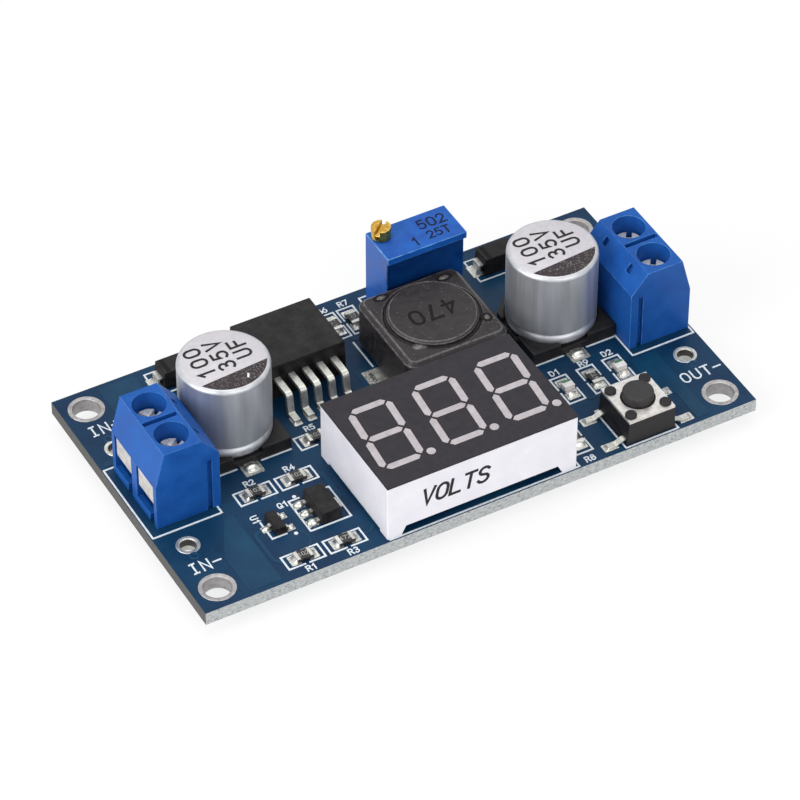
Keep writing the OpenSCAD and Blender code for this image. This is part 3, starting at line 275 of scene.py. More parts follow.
def show(name, mesh, materials, body):
    """An object at the origin for a finished mesh, with smooth shading between its sharp edges."""
    mesh.polygons.foreach_set("use_smooth", np.ones(len(mesh.polygons), bool))
    mesh.set_sharp_from_angle(angle=SMOOTH)
    mesh.materials.clear()
    for material in materials:
        mesh.materials.append(material)
    made = bpy.data.objects.new(name, mesh)
    bpy.context.scene.collection.objects.link(made)
    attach(made, body)
    return made


def soften(made, width, rim=-1, chosen=False, held=False):
    """Small rounds on a piece's sharp edges, as moulding, stamping or cutting leaves them.

    rim is the place of the rounds' own material among the piece's, or -1 for that of the faces beside them.
    Where edges are chosen, only those with a bevel weight are rounded. Rounds that are held stay narrow
    enough not to meet anywhere.
    """
    bevel = made.modifiers.new("edge_round", "BEVEL")
    bevel.width = width * MM
    bevel.segments = 2
    bevel.limit_method = "WEIGHT" if chosen else "ANGLE"
    bevel.angle_limit = SHARP
    bevel.use_clamp_overlap = held
    bevel.harden_normals = True
    bevel.material = rim


def build(name, shapes, material, replaced=(), edge=0.0):
    """Joins shapes into one piece on the board, merges their poles and turns their faces outwards."""
    counts = np.cumsum([0] + [len(points) for points, _ in shapes])
    points = np.vstack([points for points, _ in shapes]) * MM
    faces = [row for start, (_, groups) in zip(counts, shapes) for group in groups
             for row in (group + start).tolist()]
    mesh = bpy.data.meshes.new(name)
    mesh.from_pydata(points, [], faces)
    tidy = bmesh.new()
    tidy.from_mesh(mesh)
    bmesh.ops.remove_doubles(tidy, verts=tidy.verts, dist=POLE)
    bmesh.ops.recalc_face_normals(tidy, faces=tidy.faces)
    tidy.to_mesh(mesh)
    tidy.free()
    made = show(name, mesh, [material], "board")
    if edge:
        soften(made, edge)
    if replaced:
        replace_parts(made, *replaced)


def dress(node, name, materials, edge, edge_wear_and_highlight=None, least=0.0, held=False):
    """A copy of a CAD node with its triangles joined and its edges rounded, which stands for the node.

    Level faces take the first material, faces to the front or back the second, and the rest the third.
    The rounded edges take the edge_wear_and_highlight material, where one is given: a paler copy that is partly
    wear and partly a painted highlight. Where a least length is given, only outer edges from that length on are
    rounded, so that narrow places stay clean.
    """
    mesh = frame["nodes"][node].data.copy()
    tidy = bmesh.new()
    tidy.from_mesh(mesh)
    bmesh.ops.remove_doubles(tidy, verts=tidy.verts, dist=SEAM)
    bmesh.ops.dissolve_limit(tidy, angle_limit=ONE_FACE, verts=tidy.verts, edges=tidy.edges)
    if least:
        weight = tidy.edges.layers.float.new("bevel_weight_edge")
        for rim in tidy.edges:
            rim[weight] = float(rim.calc_length() > least * MM and rim.calc_face_angle_signed(0.0) > SHARP)
    tidy.to_mesh(mesh)
    tidy.free()
    made = show(name, mesh, materials + [edge_wear_and_highlight] * bool(edge_wear_and_highlight), BODY[node])
    normals = np.empty(3 * len(mesh.polygons), np.float32)
    mesh.polygons.foreach_get("normal", normals)
    side, ahead, up = np.abs(normals.reshape(-1, 3)).T
    facing = np.where(up > LEVEL_FACE, 0, np.where(ahead > side, 1, 2))
    mesh.polygons.foreach_set("material_index", np.minimum(facing, len(materials) - 1).astype(np.int32))
    if edge:
        soften(made, edge, rim=len(materials) if edge_wear_and_highlight else -1, chosen=bool(least), held=held)
    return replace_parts(made, node)


def moulding(node, name, material, edge):
    """A moulded body with the pockets of its leads closed: its foot and the outline of its top, joined."""
    low, high = box(node)
    points = corners(node)
    crown = points[points[:, 2] > high[2] - SAME_LEVEL]
    rings = [[(a[0], a[1], z), (b[0], a[1], z), (b[0], b[1], z), (a[0], b[1], z)]
             for a, b, z in ((low, high, low[2]), (crown.min(axis=0), crown.max(axis=0), high[2]))]
    build(name, [loft(np.array(rings))], material, replaced=[node], edge=edge)


# Materials

def linear(code):
    """An sRGB hex colour as linear red, green, blue and alpha."""
    srgb = np.array([int(code[k:k + 2], 16) for k in (1, 3, 5)]) / 255
    return (*np.where(srgb <= 0.04045, srgb / 12.92, ((srgb + 0.055) / 1.055) ** 2.4), 1.0)


def add(tree, kind, links=None, **settings):
    """Adds a node, sets its properties, and gives its inputs values or other nodes' outputs."""
    made = tree.nodes.new(kind)
    for key, value in settings.items():
        setattr(made, key, value)
    for key, value in (links or {}).items():
        if isinstance(value, bpy.types.NodeSocket):
            tree.links.new(value, made.inputs[key])
        else:
            made.inputs[key].default_value = value
    return made


def finish(name, tones, mottle, rough, grain, stretch=(1, 1, 1), **sockets):
    """A surface of two tones in soft patches, whose roughness follows them, with a fine grain in relief.

    mottle is the patches' size; rough the lowest and highest roughness; grain the size and depth of the
    relief; stretch squeezes the patterns along an axis, so that a small value draws them out there.
    The noise stays mostly between its least and most value, which the two tones are spread over.
    """
    least, most = 0.32, 0.68
    made = bpy.data.materials.new(name)
    made.use_nodes = True
    tree = made.node_tree
    shader = tree.nodes["Principled BSDF"]
    place = add(tree, "ShaderNodeTexCoord").outputs["Object"]
    drawn = add(tree, "ShaderNodeMapping", {"Vector": place, "Scale": stretch}).outputs["Vector"]
    cloud = add(tree, "ShaderNodeTexNoise",
                {"Vector": drawn, "Scale": 1 / (mottle * MM), "Detail": 5.0, "Roughness": 0.6}).outputs["Fac"]
    patch = add(tree, "ShaderNodeMapRange",
                {"Value": cloud, "From Min": least, "From Max": most}).outputs["Result"]
    colour = add(tree, "ShaderNodeMix", {"Factor": patch, 6: linear(tones[0]), 7: linear(tones[1])},
                 data_type="RGBA").outputs[2]
    gloss = add(tree, "ShaderNodeMapRange",
                {"Value": patch, "To Min": rough[0], "To Max": rough[1]}).outputs["Result"]
    fine = add(tree, "ShaderNodeTexNoise",
               {"Vector": drawn, "Scale": 1 / (grain[0] * MM), "Detail": 3.0}).outputs["Fac"]
    relief = add(tree, "ShaderNodeBump", {"Height": fine, "Distance": grain[1] * MM}).outputs["Normal"]
    tree.links.new(colour, shader.inputs["Base Color"])
    tree.links.new(gloss, shader.inputs["Roughness"])
    tree.links.new(relief, shader.inputs["Normal"])
    for key, value in sockets.items():
        shader.inputs[key.replace("_", " ")].default_value = value
    return made


def flecks(material, colour, size, share):
    """Small specks of another colour: the cells of a pattern whose random value lies under a share.

    A speck is full within its heart and fades out to its rim, as shares of the cell's size.
    """
    heart, rim = 0.25, 0.55
    tree = material.node_tree
    shader = tree.nodes["Principled BSDF"]
    place = add(tree, "ShaderNodeTexCoord").outputs["Object"]
    cell = add(tree, "ShaderNodeTexVoronoi", {"Vector": place, "Scale": 1 / (size * MM)})
    chance = add(tree, "ShaderNodeSeparateColor", {"Color": cell.outputs["Color"]}).outputs["Red"]
    chosen = add(tree, "ShaderNodeMath", {0: chance, 1: share}, operation="LESS_THAN").outputs["Value"]
    core = add(tree, "ShaderNodeMapRange", {"Value": cell.outputs["Distance"], "From Min": heart,
                                            "From Max": rim, "To Min": 1.0, "To Max": 0.0}).outputs["Result"]
    amount = add(tree, "ShaderNodeMath", {0: chosen, 1: core}, operation="MULTIPLY").outputs["Value"]
    base = shader.inputs["Base Color"].links[0].from_socket
    mixed = add(tree, "ShaderNodeMix", {"Factor": amount, 6: base, 7: linear(colour)}, data_type="RGBA")
    tree.links.new(mixed.outputs[2], shader.inputs["Base Color"])
    return material


def weave(material, pitch, depth):
    """Glass cloth that shows through as relief: the product of two sets of waves across each other."""
    tree = material.node_tree
    shader = tree.nodes["Principled BSDF"]
    place = add(tree, "ShaderNodeTexCoord").outputs["Object"]
    # A wave texture repeats every 2 pi / 20 of its scaled coordinate
    scale = 2 * math.pi / 20 / (pitch * MM)
    warp, weft = (add(tree, "ShaderNodeTexWave", {"Vector": place, "Scale": scale}, bands_direction=axis)
                  for axis in "XY")
    cloth = add(tree, "ShaderNodeMath", {0: warp.outputs["Fac"], 1: weft.outputs["Fac"]},
                operation="MULTIPLY").outputs["Value"]
    under = shader.inputs["Normal"].links[0].from_socket
    relief = add(tree, "ShaderNodeBump", {"Height": cloth, "Distance": depth * MM, "Normal": under})
    tree.links.new(relief.outputs["Normal"], shader.inputs["Normal"])
    return material


# Cured blue solder mask over bare laminate: dark, satin, with the glass cloth faintly in relief
mask = weave(finish("solder_mask", ("#0a2b49", "#0f3856"), 5, (0.32, 0.46), (0.5, 0.004),
                    Specular_IOR_Level=0.16), 0.55, 0.004)
# The same mask over copper: the metal below makes it lighter and more teal
copper_mask = weave(finish("solder_mask_over_copper", ("#0c3452", "#11405c"), 4, (0.28, 0.4), (0.5, 0.004),
                           Specular_IOR_Level=0.18), 0.55, 0.004)
# Glass-fibre laminate snapped along a scored line: pale fibre and resin in grains, with dark nicks
fibre = flecks(finish("glass_fibre_laminate", ("#8d9192", "#c5c8c9"), 0.3, (0.6, 0.85), (0.15, 0.03),
                      stretch=(0.6, 0.6, 1.4)), "#7c8284", 0.25, 0.12)
# The same laminate on the faces that look left and right: smoother, and painted darker as shade
side_shade_laminate = finish("laminate_with_painted_side_shade", ("#3a3a38", "#565553"), 0.4, (0.55, 0.75), (0.15, 0.015),
                stretch=(0.5, 0.5, 1.6))
# Screen-printed white epoxy ink: opaque and matt, thinner in places
white_ink = finish("white_screen_ink", ("#c9d3dc", "#e6ebef"), 0.35, (0.5, 0.65), (0.1, 0.004))
# Pad-printed black ink
black_ink = finish("black_pad_ink", ("#1a181a", "#292729"), 0.3, (0.45, 0.6), (0.1, 0.004),
                   Specular_IOR_Level=0.2)
# Ink on the trimmer's cap, thin enough for the blue to show through
trimmer_ink = finish("thin_navy_ink", ("#06102a", "#0d1d44"), 0.25, (0.4, 0.55), (0.1, 0.003),
                     Specular_IOR_Level=0.15)
# Grey print on the resistors' glaze
grey_ink = finish("grey_screen_ink", ("#7f7f7c", "#a8a8a4"), 0.2, (0.5, 0.65), (0.1, 0.003))
# Dull ink on ferrite, little darker than its ground; the same dark colour is also painted as the shade of
# pockets under the glue drops
dark_ink_and_pocket_shade = finish("faded_black_ink_and_pocket_shade", ("#0e0d0e", "#1a1718"), 0.25, (0.55, 0.75), (0.1, 0.004),
                     Specular_IOR_Level=0.15)
# Tin plate: bright but not mirror-like, with soft patches from the bath
tin = finish("tin_plate", ("#b4b4af", "#d3d3cd"), 0.6, (0.3, 0.46), (0.2, 0.003), Metallic=0.8)
# Tinned lining of the mounting holes: a darker copy of the tin plate
darker_tin = finish("darker_tin_plate", ("#8f8c8d", "#b3b0b0"), 0.5, (0.35, 0.5), (0.2, 0.004), Metallic=0.7)
# Upper walls of the wire holes: solder painted dark as the shade inside the hole
hole_shade_solder = finish("solder_painted_as_hole_shade", ("#2b2927", "#4d4a46"), 0.45, (0.25, 0.5), (0.3, 0.02), Metallic=0.5)
# Reflowed solder: bright with fine frost where it froze
solder = finish("solder_alloy", ("#b0b1ac", "#dadad3"), 0.4, (0.2, 0.42), (0.3, 0.008), Metallic=0.85)
# Nickel-plated steel: bright, with wear from handling
nickel = finish("nickel_plate", ("#c1beba", "#e1deda"), 0.7, (0.3, 0.5), (0.12, 0.006), Metallic=0.75)
# Zinc-plated steel of the screws, finely scratched by the driver: painted pale and made matt, as painted light
# that keeps them bright in their shaded wells
zinc_painted_lit = finish("zinc_plate_painted_lit", ("#e2dfd6", "#f4f2ec"), 0.4, (0.2, 0.4), (0.15, 0.01), Metallic=0.3)
# Drawn aluminium: fine streaks up the can under a clear coat, satin
aluminium = finish("drawn_aluminium", ("#b2b4b9", "#c6c8cc"), 0.9, (0.38, 0.48), (0.08, 0.001),
                   stretch=(1, 1, 0.05), Metallic=0.76)
# The can's lacquered top: paler and more matt than its wall
lacquer = finish("lacquered_aluminium", ("#bcb9be", "#c8c5ca"), 0.5, (0.45, 0.6), (0.15, 0.003),
                 Metallic=0.3)
# Black print on lacquer, worn through in small points
sector_ink = flecks(finish("printed_sector_ink", ("#2b2528", "#3d3639"), 0.25, (0.5, 0.7), (0.12, 0.006),
                           Specular_IOR_Level=0.25), "#7b7577", 0.16, 0.3)
# Moulded polyamide of the terminals: saturated blue, satin, fine spark-eroded skin
blue = finish("blue_polyamide", ("#124a96", "#1b59a8"), 2.5, (0.36, 0.5), (0.1, 0.004),
              Specular_IOR_Level=0.17)
# The same plastic along its rounded edges: rubbed, and painted paler as an edge highlight
blue_rubbed_and_highlit = finish("blue_polyamide_rubbed_and_painted_highlight", ("#1d5cad", "#6ba4da"), 0.7, (0.3, 0.42), (0.1, 0.006),
                   Specular_IOR_Level=0.3)
# Moulded polyester of the trimmer: a redder blue, a little smoother
trimmer_blue = finish("blue_polyester", ("#09479b", "#115cb4"), 1.5, (0.32, 0.46), (0.25, 0.01),
                      Specular_IOR_Level=0.28)
# Epoxy moulding compound: near black, matt and finely pitted; its top catches the sky
epoxy = finish("epoxy_moulding", ("#060606", "#2d2b2c"), 1.1, (0.46, 0.66), (0.12, 0.012),
               Specular_IOR_Level=0.2)
# Moulded black nylon: a shade darker and smoother
nylon = finish("black_nylon", ("#161517", "#212022"), 1.5, (0.42, 0.58), (0.12, 0.008),
               Specular_IOR_Level=0.28)
# Soft rubbery button
button_rubber = finish("matt_button_plastic", ("#1e1d1f", "#353334"), 0.4, (0.5, 0.75), (0.3, 0.015),
                       Specular_IOR_Level=0.4)
# Fired and tumbled ferrite: dark warm grey, matt, with pale grains; its edges are rubbed and painted paler as a
# highlight
ferrite = flecks(finish("sintered_ferrite", ("#0c0a0b", "#2a2526"), 0.9, (0.4, 0.6), (0.2, 0.02),
                        Specular_IOR_Level=0.4), "#4a4648", 0.2, 0.06)
# The same along its rounded edges, where tumbling has polished it: paler, partly as a painted highlight
ferrite_rubbed_and_highlit = finish("ferrite_edge_tumbled_and_painted_highlight", ("#2a2728", "#625d5e"), 0.6, (0.22, 0.45), (0.2, 0.03))
# Clear brown glue that has run out beside the drum and set glossy
glue = finish("cured_epoxy_glue", ("#3a3637", "#5c5657"), 0.4, (0.06, 0.16), (0.4, 0.02))
# The same glue filled with ferrite dust, in the gap round the drum: dark and satin
filled_glue = finish("filled_epoxy_glue", ("#080607", "#171314"), 0.5, (0.3, 0.5), (0.4, 0.03),
                     Specular_IOR_Level=0.25)
# Enamelled copper wire
enamel = finish("enamelled_copper", ("#8e4a22", "#b5692f"), 0.5, (0.25, 0.4), (0.3, 0.02), Metallic=1.0)
# Turned brass
brass = finish("turned_brass", ("#b98a2c", "#e0bb62"), 0.4, (0.16, 0.34), (0.15, 0.01), Metallic=1.0)
# Moulded white polycarbonate of the display's case
white = finish("white_polycarbonate", ("#dfdde5", "#e8e6ec"), 3, (0.4, 0.52), (0.15, 0.003),
               Specular_IOR_Level=0.3)
# Printed dark film on the display's face, faintly cloudy
film = finish("dark_display_film", ("#232127", "#2f2c31"), 0.8, (0.42, 0.55), (0.2, 0.004),
              Specular_IOR_Level=0.2)
# Cloudy epoxy of the unlit bars
bar_epoxy = finish("cloudy_bar_epoxy", ("#a59ea2", "#b9b2b6"), 1, (0.32, 0.45), (0.3, 0.004))
# Cloudy lens of the small lights, with a pink cast
lens = finish("cloudy_lens_epoxy", ("#d6d2d0", "#efebe8"), 0.5, (0.15, 0.3), (0.3, 0.004))
# Green mark at the cathode of a small light
green = finish("green_cathode_mark", ("#2f6b4a", "#4a8a63"), 0.4, (0.4, 0.5), (0.2, 0.006))
# Fired alumina
alumina = finish("fired_alumina", ("#dcd8d0", "#e9e6df"), 0.6, (0.55, 0.7), (0.1, 0.006))
# Black glaze on the resistors
glaze = finish("resistor_glaze", ("#181617", "#242122"), 0.4, (0.22, 0.36), (0.2, 0.008))
# Bare green laminate of the display's carrier
carrier = weave(finish("bare_green_laminate", ("#2f5230", "#41683b"), 2, (0.45, 0.6), (0.3, 0.004)), 0.5, 0.01)


# Lettering: a single-stroke alphabet on a cell 0.6 wide and 1 high

def arc(x, y, rx, ry, start, end, steps=9):
    """Points on an ellipse from one angle to another, in degrees."""
    turn = np.radians(np.linspace(start, end, steps))
    return np.column_stack([x + rx * np.cos(turn), y + ry * np.sin(turn)])


def pen(*bits):
    """One stroke of the pen through points and arcs, end to end."""
    return np.vstack([np.atleast_2d(bit) for bit in bits])


RING = pen(arc(0.3, 0.68, 0.3, 0.32, 0, 180), arc(0.3, 0.32, 0.3, 0.32, 180, 360), (0.6, 0.68))
GLYPHS = {
    "0": [RING],
    "1": [pen((0.1, 0.78), (0.34, 1), (0.34, 0))],
    "2": [pen(arc(0.3, 0.7, 0.28, 0.3, 165, -35), (0, 0), (0.6, 0))],
    "3": [pen(arc(0.28, 0.76, 0.27, 0.24, 140, -90), arc(0.28, 0.27, 0.31, 0.27, 90, -145))],
    "4": [pen((0.44, 0), (0.44, 1), (0, 0.3), (0.62, 0.3))],
    "5": [pen((0.54, 1), (0.1, 1), (0.05, 0.55), arc(0.27, 0.32, 0.31, 0.32, 118, -145))],
    "6": [pen((0.46, 1), arc(0.3, 0.32, 0.3, 0.32, 160, 500, 17))],
    "7": [pen((0, 1), (0.6, 1), (0.2, 0))],
    "8": [pen(arc(0.3, 0.76, 0.24, 0.24, 90, 450, 17)), pen(arc(0.3, 0.27, 0.29, 0.27, 90, 450, 17))],
    "9": [pen((0.14, 0), arc(0.3, 0.68, 0.3, 0.32, -20, 320, 17))],
    "I": [pen((0.3, 0), (0.3, 1)), pen((0.12, 0), (0.48, 0)), pen((0.12, 1), (0.48, 1))],
    "N": [pen((0, 0), (0, 1), (0.6, 0), (0.6, 1))],
    "O": [RING],
    "U": [pen((0, 1), arc(0.3, 0.3, 0.3, 0.3, 180, 360), (0.6, 1))],
    "T": [pen((0, 1), (0.6, 1)), pen((0.3, 1), (0.3, 0))],
    "R": [pen((0, 0), (0, 1), arc(0.32, 0.75, 0.27, 0.25, 90, -90), (0, 0.5)), pen((0.3, 0.5), (0.6, 0))],
    "Q": [RING, pen((0.36, 0.3), (0.62, 0))],
    "D": [pen((0, 0), (0, 1), arc(0.24, 0.5, 0.36, 0.5, 90, -90), (0, 0))],
    "V": [pen((0, 1), (0.3, 0), (0.6, 1))],
    "F": [pen((0, 0), (0, 1), (0.56, 1)), pen((0, 0.52), (0.46, 0.52))],
    "L": [pen((0, 1), (0, 0), (0.56, 0))],
    "S": [pen(arc(0.3, 0.76, 0.28, 0.24, 25, 270), arc(0.3, 0.26, 0.3, 0.26, 90, -155))],
    "+": [pen((0, 0.5), (0.6, 0.5)), pen((0.3, 0.2), (0.3, 0.8))],
    "-": [pen((0, 0.5), (0.6, 0.5))],
}
CELL = 0.6


def lettering(text, on, middle, height, line, pitch=0.88, slant=0.0, thick=INK):
    """A line of text about its middle: strokes scaled to the height, cell after cell, leaning with height.

    Each next stroke of a letter is thicker by a step, and each swells on its way, so that no two faces meet.
    """
    step, swell = 0.4, 0.3
    first = -((len(text) - 1) * pitch + CELL) / 2
    shapes = []
    for place, letter in enumerate(text):
        for number, stroke in enumerate(GLYPHS[letter]):
            across = stroke[:, 0] + first + place * pitch + slant * (stroke[:, 1] - 0.5)
            path = np.column_stack([across, stroke[:, 1] - 0.5]) * height + np.asarray(middle)
            shapes.append(ribbon(path, line, thick * (1 + step * number), on, overrun=line / 2, swell=swell))
    return shapes


# Circuit board: laminate, copper, holes and print

BOARD_LOW, BOARD_HIGH = box("circuit_board")
DECK = BOARD_HIGH[2]
TOP = level((0, 0), DECK)
# Seen from below, up on the drawing plane is towards the front
UNDER = plane((0, 0, BOARD_LOW[2]), (1, 0, 0), (0, -1, 0))
SIDES = ("input", "output")

# Level faces take the mask, faces to the front and back the snapped laminate, and side faces its darker copy as
# painted shade
dress("circuit_board", "board_laminate", [mask, fibre, side_shade_laminate], edge=0.0)

MOUNT_HOLE = MOUNTS["mounting_holes"]["dims"]["hole_r_mm"]
WIRE_HOLE = MOUNTS["input_wire_hole_plus"]["dims"]["r_mm"]
# A hole with a ring over this radius is a mounting hole
MOUNT_HOLE_LEAST_RING = 1.8
# Linings of the holes: thickness, radius of the flare, and how far the outer edge lies from mid-board
LINING, FLARE, LINING_EDGE = 0.03, 0.14, 0.6
# Bands of painted shade on the upper walls of the wire holes: middle and height as shares of the board's
# thickness
SHADE_BAND_MIDDLE, SHADE_BAND_HEIGHT = 0.68, 0.5
# Vias beside the wire holes, covered by the mask: radius, size of the rim, and place from the hole
VIA_RADIUS, VIA_RIM, VIA_OFFSET = 0.42, (0.14, 0.06), (0.1, 1.65)


def hole_section(radius, ring, low, high):
    """The lining of a plated hole with its two rings: straight walls that flare round into the rings."""
    turn = np.radians(np.linspace(180, 90, 6))
    bend = np.column_stack([radius - LINING + FLARE * (1 + np.cos(turn)), high - FLARE * (1 - np.sin(turn))])
    rim = [(ring - LINING, high), (ring, high - LINING), (radius + LINING, DECK / 2 + LINING_EDGE)]
    half = np.vstack([bend, rim])
    other = half[::-1] * (1, -1) + (0, high + low)
    return np.vstack([half, other])


mount_linings, wire_linings, hole_shade_bands, vias = [], [], [], []
ring_low, ring_high = box("hole_plating")
for low, high in solids("hole_plating"):
    at, ring = mid(low, high), (high[0] - low[0]) / 2
    if low[2] < 0:
        # The ring on the lower face belongs to the lining of the one above it
        continue
    if ring > MOUNT_HOLE_LEAST_RING:
        mount_linings.append(tube(hole_section(MOUNT_HOLE, ring, ring_low[2], ring_high[2]), at))
        continue
    wire_linings.append(tube(hole_section(WIRE_HOLE, ring, ring_low[2], ring_high[2]), at))
    # A dark band on the upper wall stands for the shade inside the hole
    wall = rectangle((WIRE_HOLE - LINING, DECK * SHADE_BAND_MIDDLE), (LINING, DECK * SHADE_BAND_HEIGHT), LINING / 4)
    hole_shade_bands.append(tube(wall, at))
    rim = arc(VIA_RADIUS, DECK, *VIA_RIM, 0, 180, 7)
    vias.append(tube(rim, at + np.sign(at) * VIA_OFFSET, around=24))
build("mounting_hole_linings", mount_linings, darker_tin, replaced=["hole_plating"])
build("wire_hole_linings", wire_linings, tin)
build("wire_hole_painted_shade", hole_shade_bands, hole_shade_solder)
build("covered_vias", vias, copper_mask)

# Copper under the mask on the upper face: wide areas, then tracks as (points, width)
areas = [
    [(-27.6, -17.4), (-27.6, -11.6), (-25.3, -7.2), (-25.3, -6.6), (-23.9, -6.6), (-23.9, -17.4)],
    [(-32.4, 6.2), (-32.4, 6.9), (-27.8, 6.9), (-27.8, 17.4), (-23.4, 17.4), (-23.4, 12.9), (-25.2, 11.0),
     (-25.2, 6.2)],
    [(-15.6, 11.4), (-15.6, 17.4), (-2.2, 17.4), (-2.2, 9.8), (-3.2, 8.4), (-3.2, 6.8), (-13.4, 6.8)],
    [(-2.6, 6.6), (1.2, 6.6), (1.2, 2.2), (-2.0, 2.2), (-2.6, 2.9)],
    [(11.4, 2.2), (11.4, 6.6), (13.4, 6.6), (14.6, 7.8), (14.6, 17.4), (22.9, 17.4), (22.9, 12.0), (24.9, 10.2),
     (24.9, 2.2)],
    [(26.0, -17.4), (26.0, -13.1), (24.4, -11.4), (24.4, -6.2), (27.6, -6.2), (27.6, -17.4)],
]
tracks = [
    ([(-22.0, -10.2), (-23.0, -10.2), (-23.35, -10.6), (-23.35, -14.6), (-22.4, -15.6)], 0.4),
    ([(-19.6, -9.3), (-18.9, -8.6), (-18.9, -6.2), (-19.5, -5.0)], 0.3),
    ([(-19.6, -11.1), (-18.6, -12.6), (-18.6, -13.6), (-19.4, -15.0)], 0.3),
    ([(-16.5, -5.0), (-17.9, -5.0), (-19.5, -5.0)], 0.3),
    ([(-13.9, -10.2), (-12.9, -9.2), (-12.9, -5.6), (-13.6, -4.9), (-14.5, -4.9)], 0.6),
    ([(-14.6, -15.6), (-12.6, -15.6), (-11.9, -15.0)], 0.4),
    ([(12.845, -13.2), (12.845, -6.4), (13.6, -5.2), (15.0, -4.4)], 0.4),
    ([(15.3, -12.3), (14.4, -12.3), (13.7, -11.6), (13.7, -8.6), (15.2, -6.2), (16.2, -6.0)], 0.3),
    ([(16.2, -7.8), (17.6, -9.3), (18.9, -9.3), (19.5, -8.0)], 0.4),
    ([(19.5, -6.0), (19.5, -4.6), (20.6, -3.6), (22.0, -3.6), (22.7, -6.0)], 0.3),
    ([(-10.2, -0.55), (-8.2, -0.55), (-7.0, 0.6), (-7.0, 2.6)], 0.4),
    ([(1.48, 13.0), (1.48, 11.6), (0.2, 11.0), (-0.9, 12.9)], 0.4),
]
# Size of a track's bends; height of the first track and what each next one adds, in thicknesses of copper,
# so that no two faces share a plane
TRACK_BEND, TRACK_HEIGHT, TRACK_STEP = 0.12, 1.05, 0.02
copper = [plate(outline, COPPER, TOP) for outline in areas]
copper += [ribbon(rounded(path, TRACK_BEND), width, COPPER * (TRACK_HEIGHT + TRACK_STEP * number), TOP,
                  overrun=width / 2) for number, (path, width) in enumerate(tracks)]
# On the lower face: wide areas, then tracks from the display's pins
under_areas = [
    [(-27.6, 17.2), (-27.6, 4.8), (-24.6, 4.8), (-23.6, 3.8), (-23.6, -4.8), (-12.8, -4.8), (-12.8, 17.2)],
    [(-23.2, -5.4), (-23.2, -17.2), (2.0, -17.2), (2.0, -5.4)],
    [(14.2, 2.4), (14.2, -17.2), (27.6, -17.2), (27.6, -5.2), (24.2, -5.2), (24.2, 2.4)],
    [(14.2, 17.2), (14.2, 3.2), (24.4, 3.2), (24.4, 5.2), (27.6, 5.2), (27.6, 17.2)],
]
copper += [plate(outline, COPPER, UNDER) for outline in under_areas]
# A pin's track starts at the pin and runs towards the middle of the display
PIN_TRACK = np.array([(0, 0), (0, 1.1), (1, 2.1), (1, 3.5)])
PIN_TRACK_WIDTH, PIN_TRACK_END, PIN_TRACK_BEND, PIN_TRACK_HEIGHT = 0.35, 0.17, 0.3, 1.2
display_low, display_high = box("display_case")
display_y = mid(display_low, display_high)[1]
for low, high in solids("display_pins"):
    x, y = mid(low, high)
    path = PIN_TRACK * (1, np.sign(y - display_y)) + (x, -y)
    copper.append(ribbon(rounded(path, PIN_TRACK_BEND), PIN_TRACK_WIDTH, COPPER * PIN_TRACK_HEIGHT, UNDER,
                         overrun=PIN_TRACK_END))
build("masked_copper", copper, copper_mask)

# Silkscreen: width of its lines, and the thickness of lines that cross others, as shares of the ink's
LINE, OVER, OVER_ALL = 0.2, 1.2, 1.4


def stroke(path, share=1.0, overrun=0.0):
    """A printed line on the board along a path."""
    return ribbon(path, LINE, INK * share, TOP, overrun=overrun)


def frame_line(low, high, sides):
    """The outline of a rectangle or some of its sides: l, r, f and b for left, right, front and back."""
    ends = {"l": [(low[0], low[1]), (low[0], high[1])], "r": [(high[0], low[1]), (high[0], high[1])],
            "f": [(low[0], low[1]), (high[0], low[1])], "b": [(low[0], high[1]), (high[0], high[1])]}
    return [stroke(ends[side], OVER if side in "fb" else 1.0, LINE / 2) for side in sides]


# Frames round parts: how far each lies to the left, front, right and back of its part, and its sides
DIODE_FRAME, TRANSISTOR_FRAME = (0.9, 0.5, 0.9, 0.5), (1.4, 0.2, 0.85, 0.25)
print_lines = []
for node, (left, front, right, back), sides in (
        ("input_terminal_housing", (1.02, 1.08, -0.46, 0.3), "lrfb"),
        ("output_terminal_housing", (0.18, 1.02, 0.05, 0.3), "lrfb"),
        ("display_case", (-0.3, 0.04, 0.35, 0.1), "lrfb"),
        ("trimmer_housing", (0.35, 0.1, 0.2, 0.9), "lrb"),
        ("transistor_body", TRANSISTOR_FRAME, "lrf"),
        ("switch_base", (0.22, 0.22, 0.22, 0.22), "lrfb"),
        ("input_diode_body", DIODE_FRAME, "lrfb"),
        ("output_diode_body", DIODE_FRAME, "lrfb")):
    low, high = box(node)
    print_lines += frame_line(low[:2] - (left, front), high[:2] + (right, back), sides)
# Two ticks close the back of the transistor's frame on either side of its tab
low, high = box("transistor_body")
y = high[1] + TRANSISTOR_FRAME[3]
for x, reach in ((low[0] - TRANSISTOR_FRAME[0], 1.3), (high[0] + TRANSISTOR_FRAME[2], -0.35)):
    print_lines.append(stroke([(x, y), (x + reach, y)], OVER_ALL))
# A line in front of each can, open at the tab; the right end turns back
CAN_LINE_AHEAD, CAN_LINE_LEFT, CAN_LINE_RIGHT, CAN_LINE_BACK, TAB_OPEN = 0.12, 0.15, 0.2, 0.4, 1.4
for side in SIDES:
    low, high = box(f"{side}_capacitor_base")
    y, tab, end = low[1] - CAN_LINE_AHEAD, mid(low, high)[0], high[0] - CAN_LINE_RIGHT
    print_lines.append(stroke([(low[0] - CAN_LINE_LEFT, y), (tab - TAB_OPEN, y)]))
    print_lines.append(stroke([(tab + TAB_OPEN, y), (end, y), (end, low[1] + CAN_LINE_BACK)]))
# Lines beside the inductor, open at its clips
COIL_GAP, COIL_LINE = 0.15, 4.4
low, high = box("inductor_shield")
for x in (low[0] - COIL_GAP, high[0] + COIL_GAP):
    for start, end in ((low[1] - COIL_GAP, low[1] + COIL_LINE), (high[1] - COIL_LINE, high[1] + COIL_GAP)):
        print_lines.append(stroke([(x, start), (x, end)]))
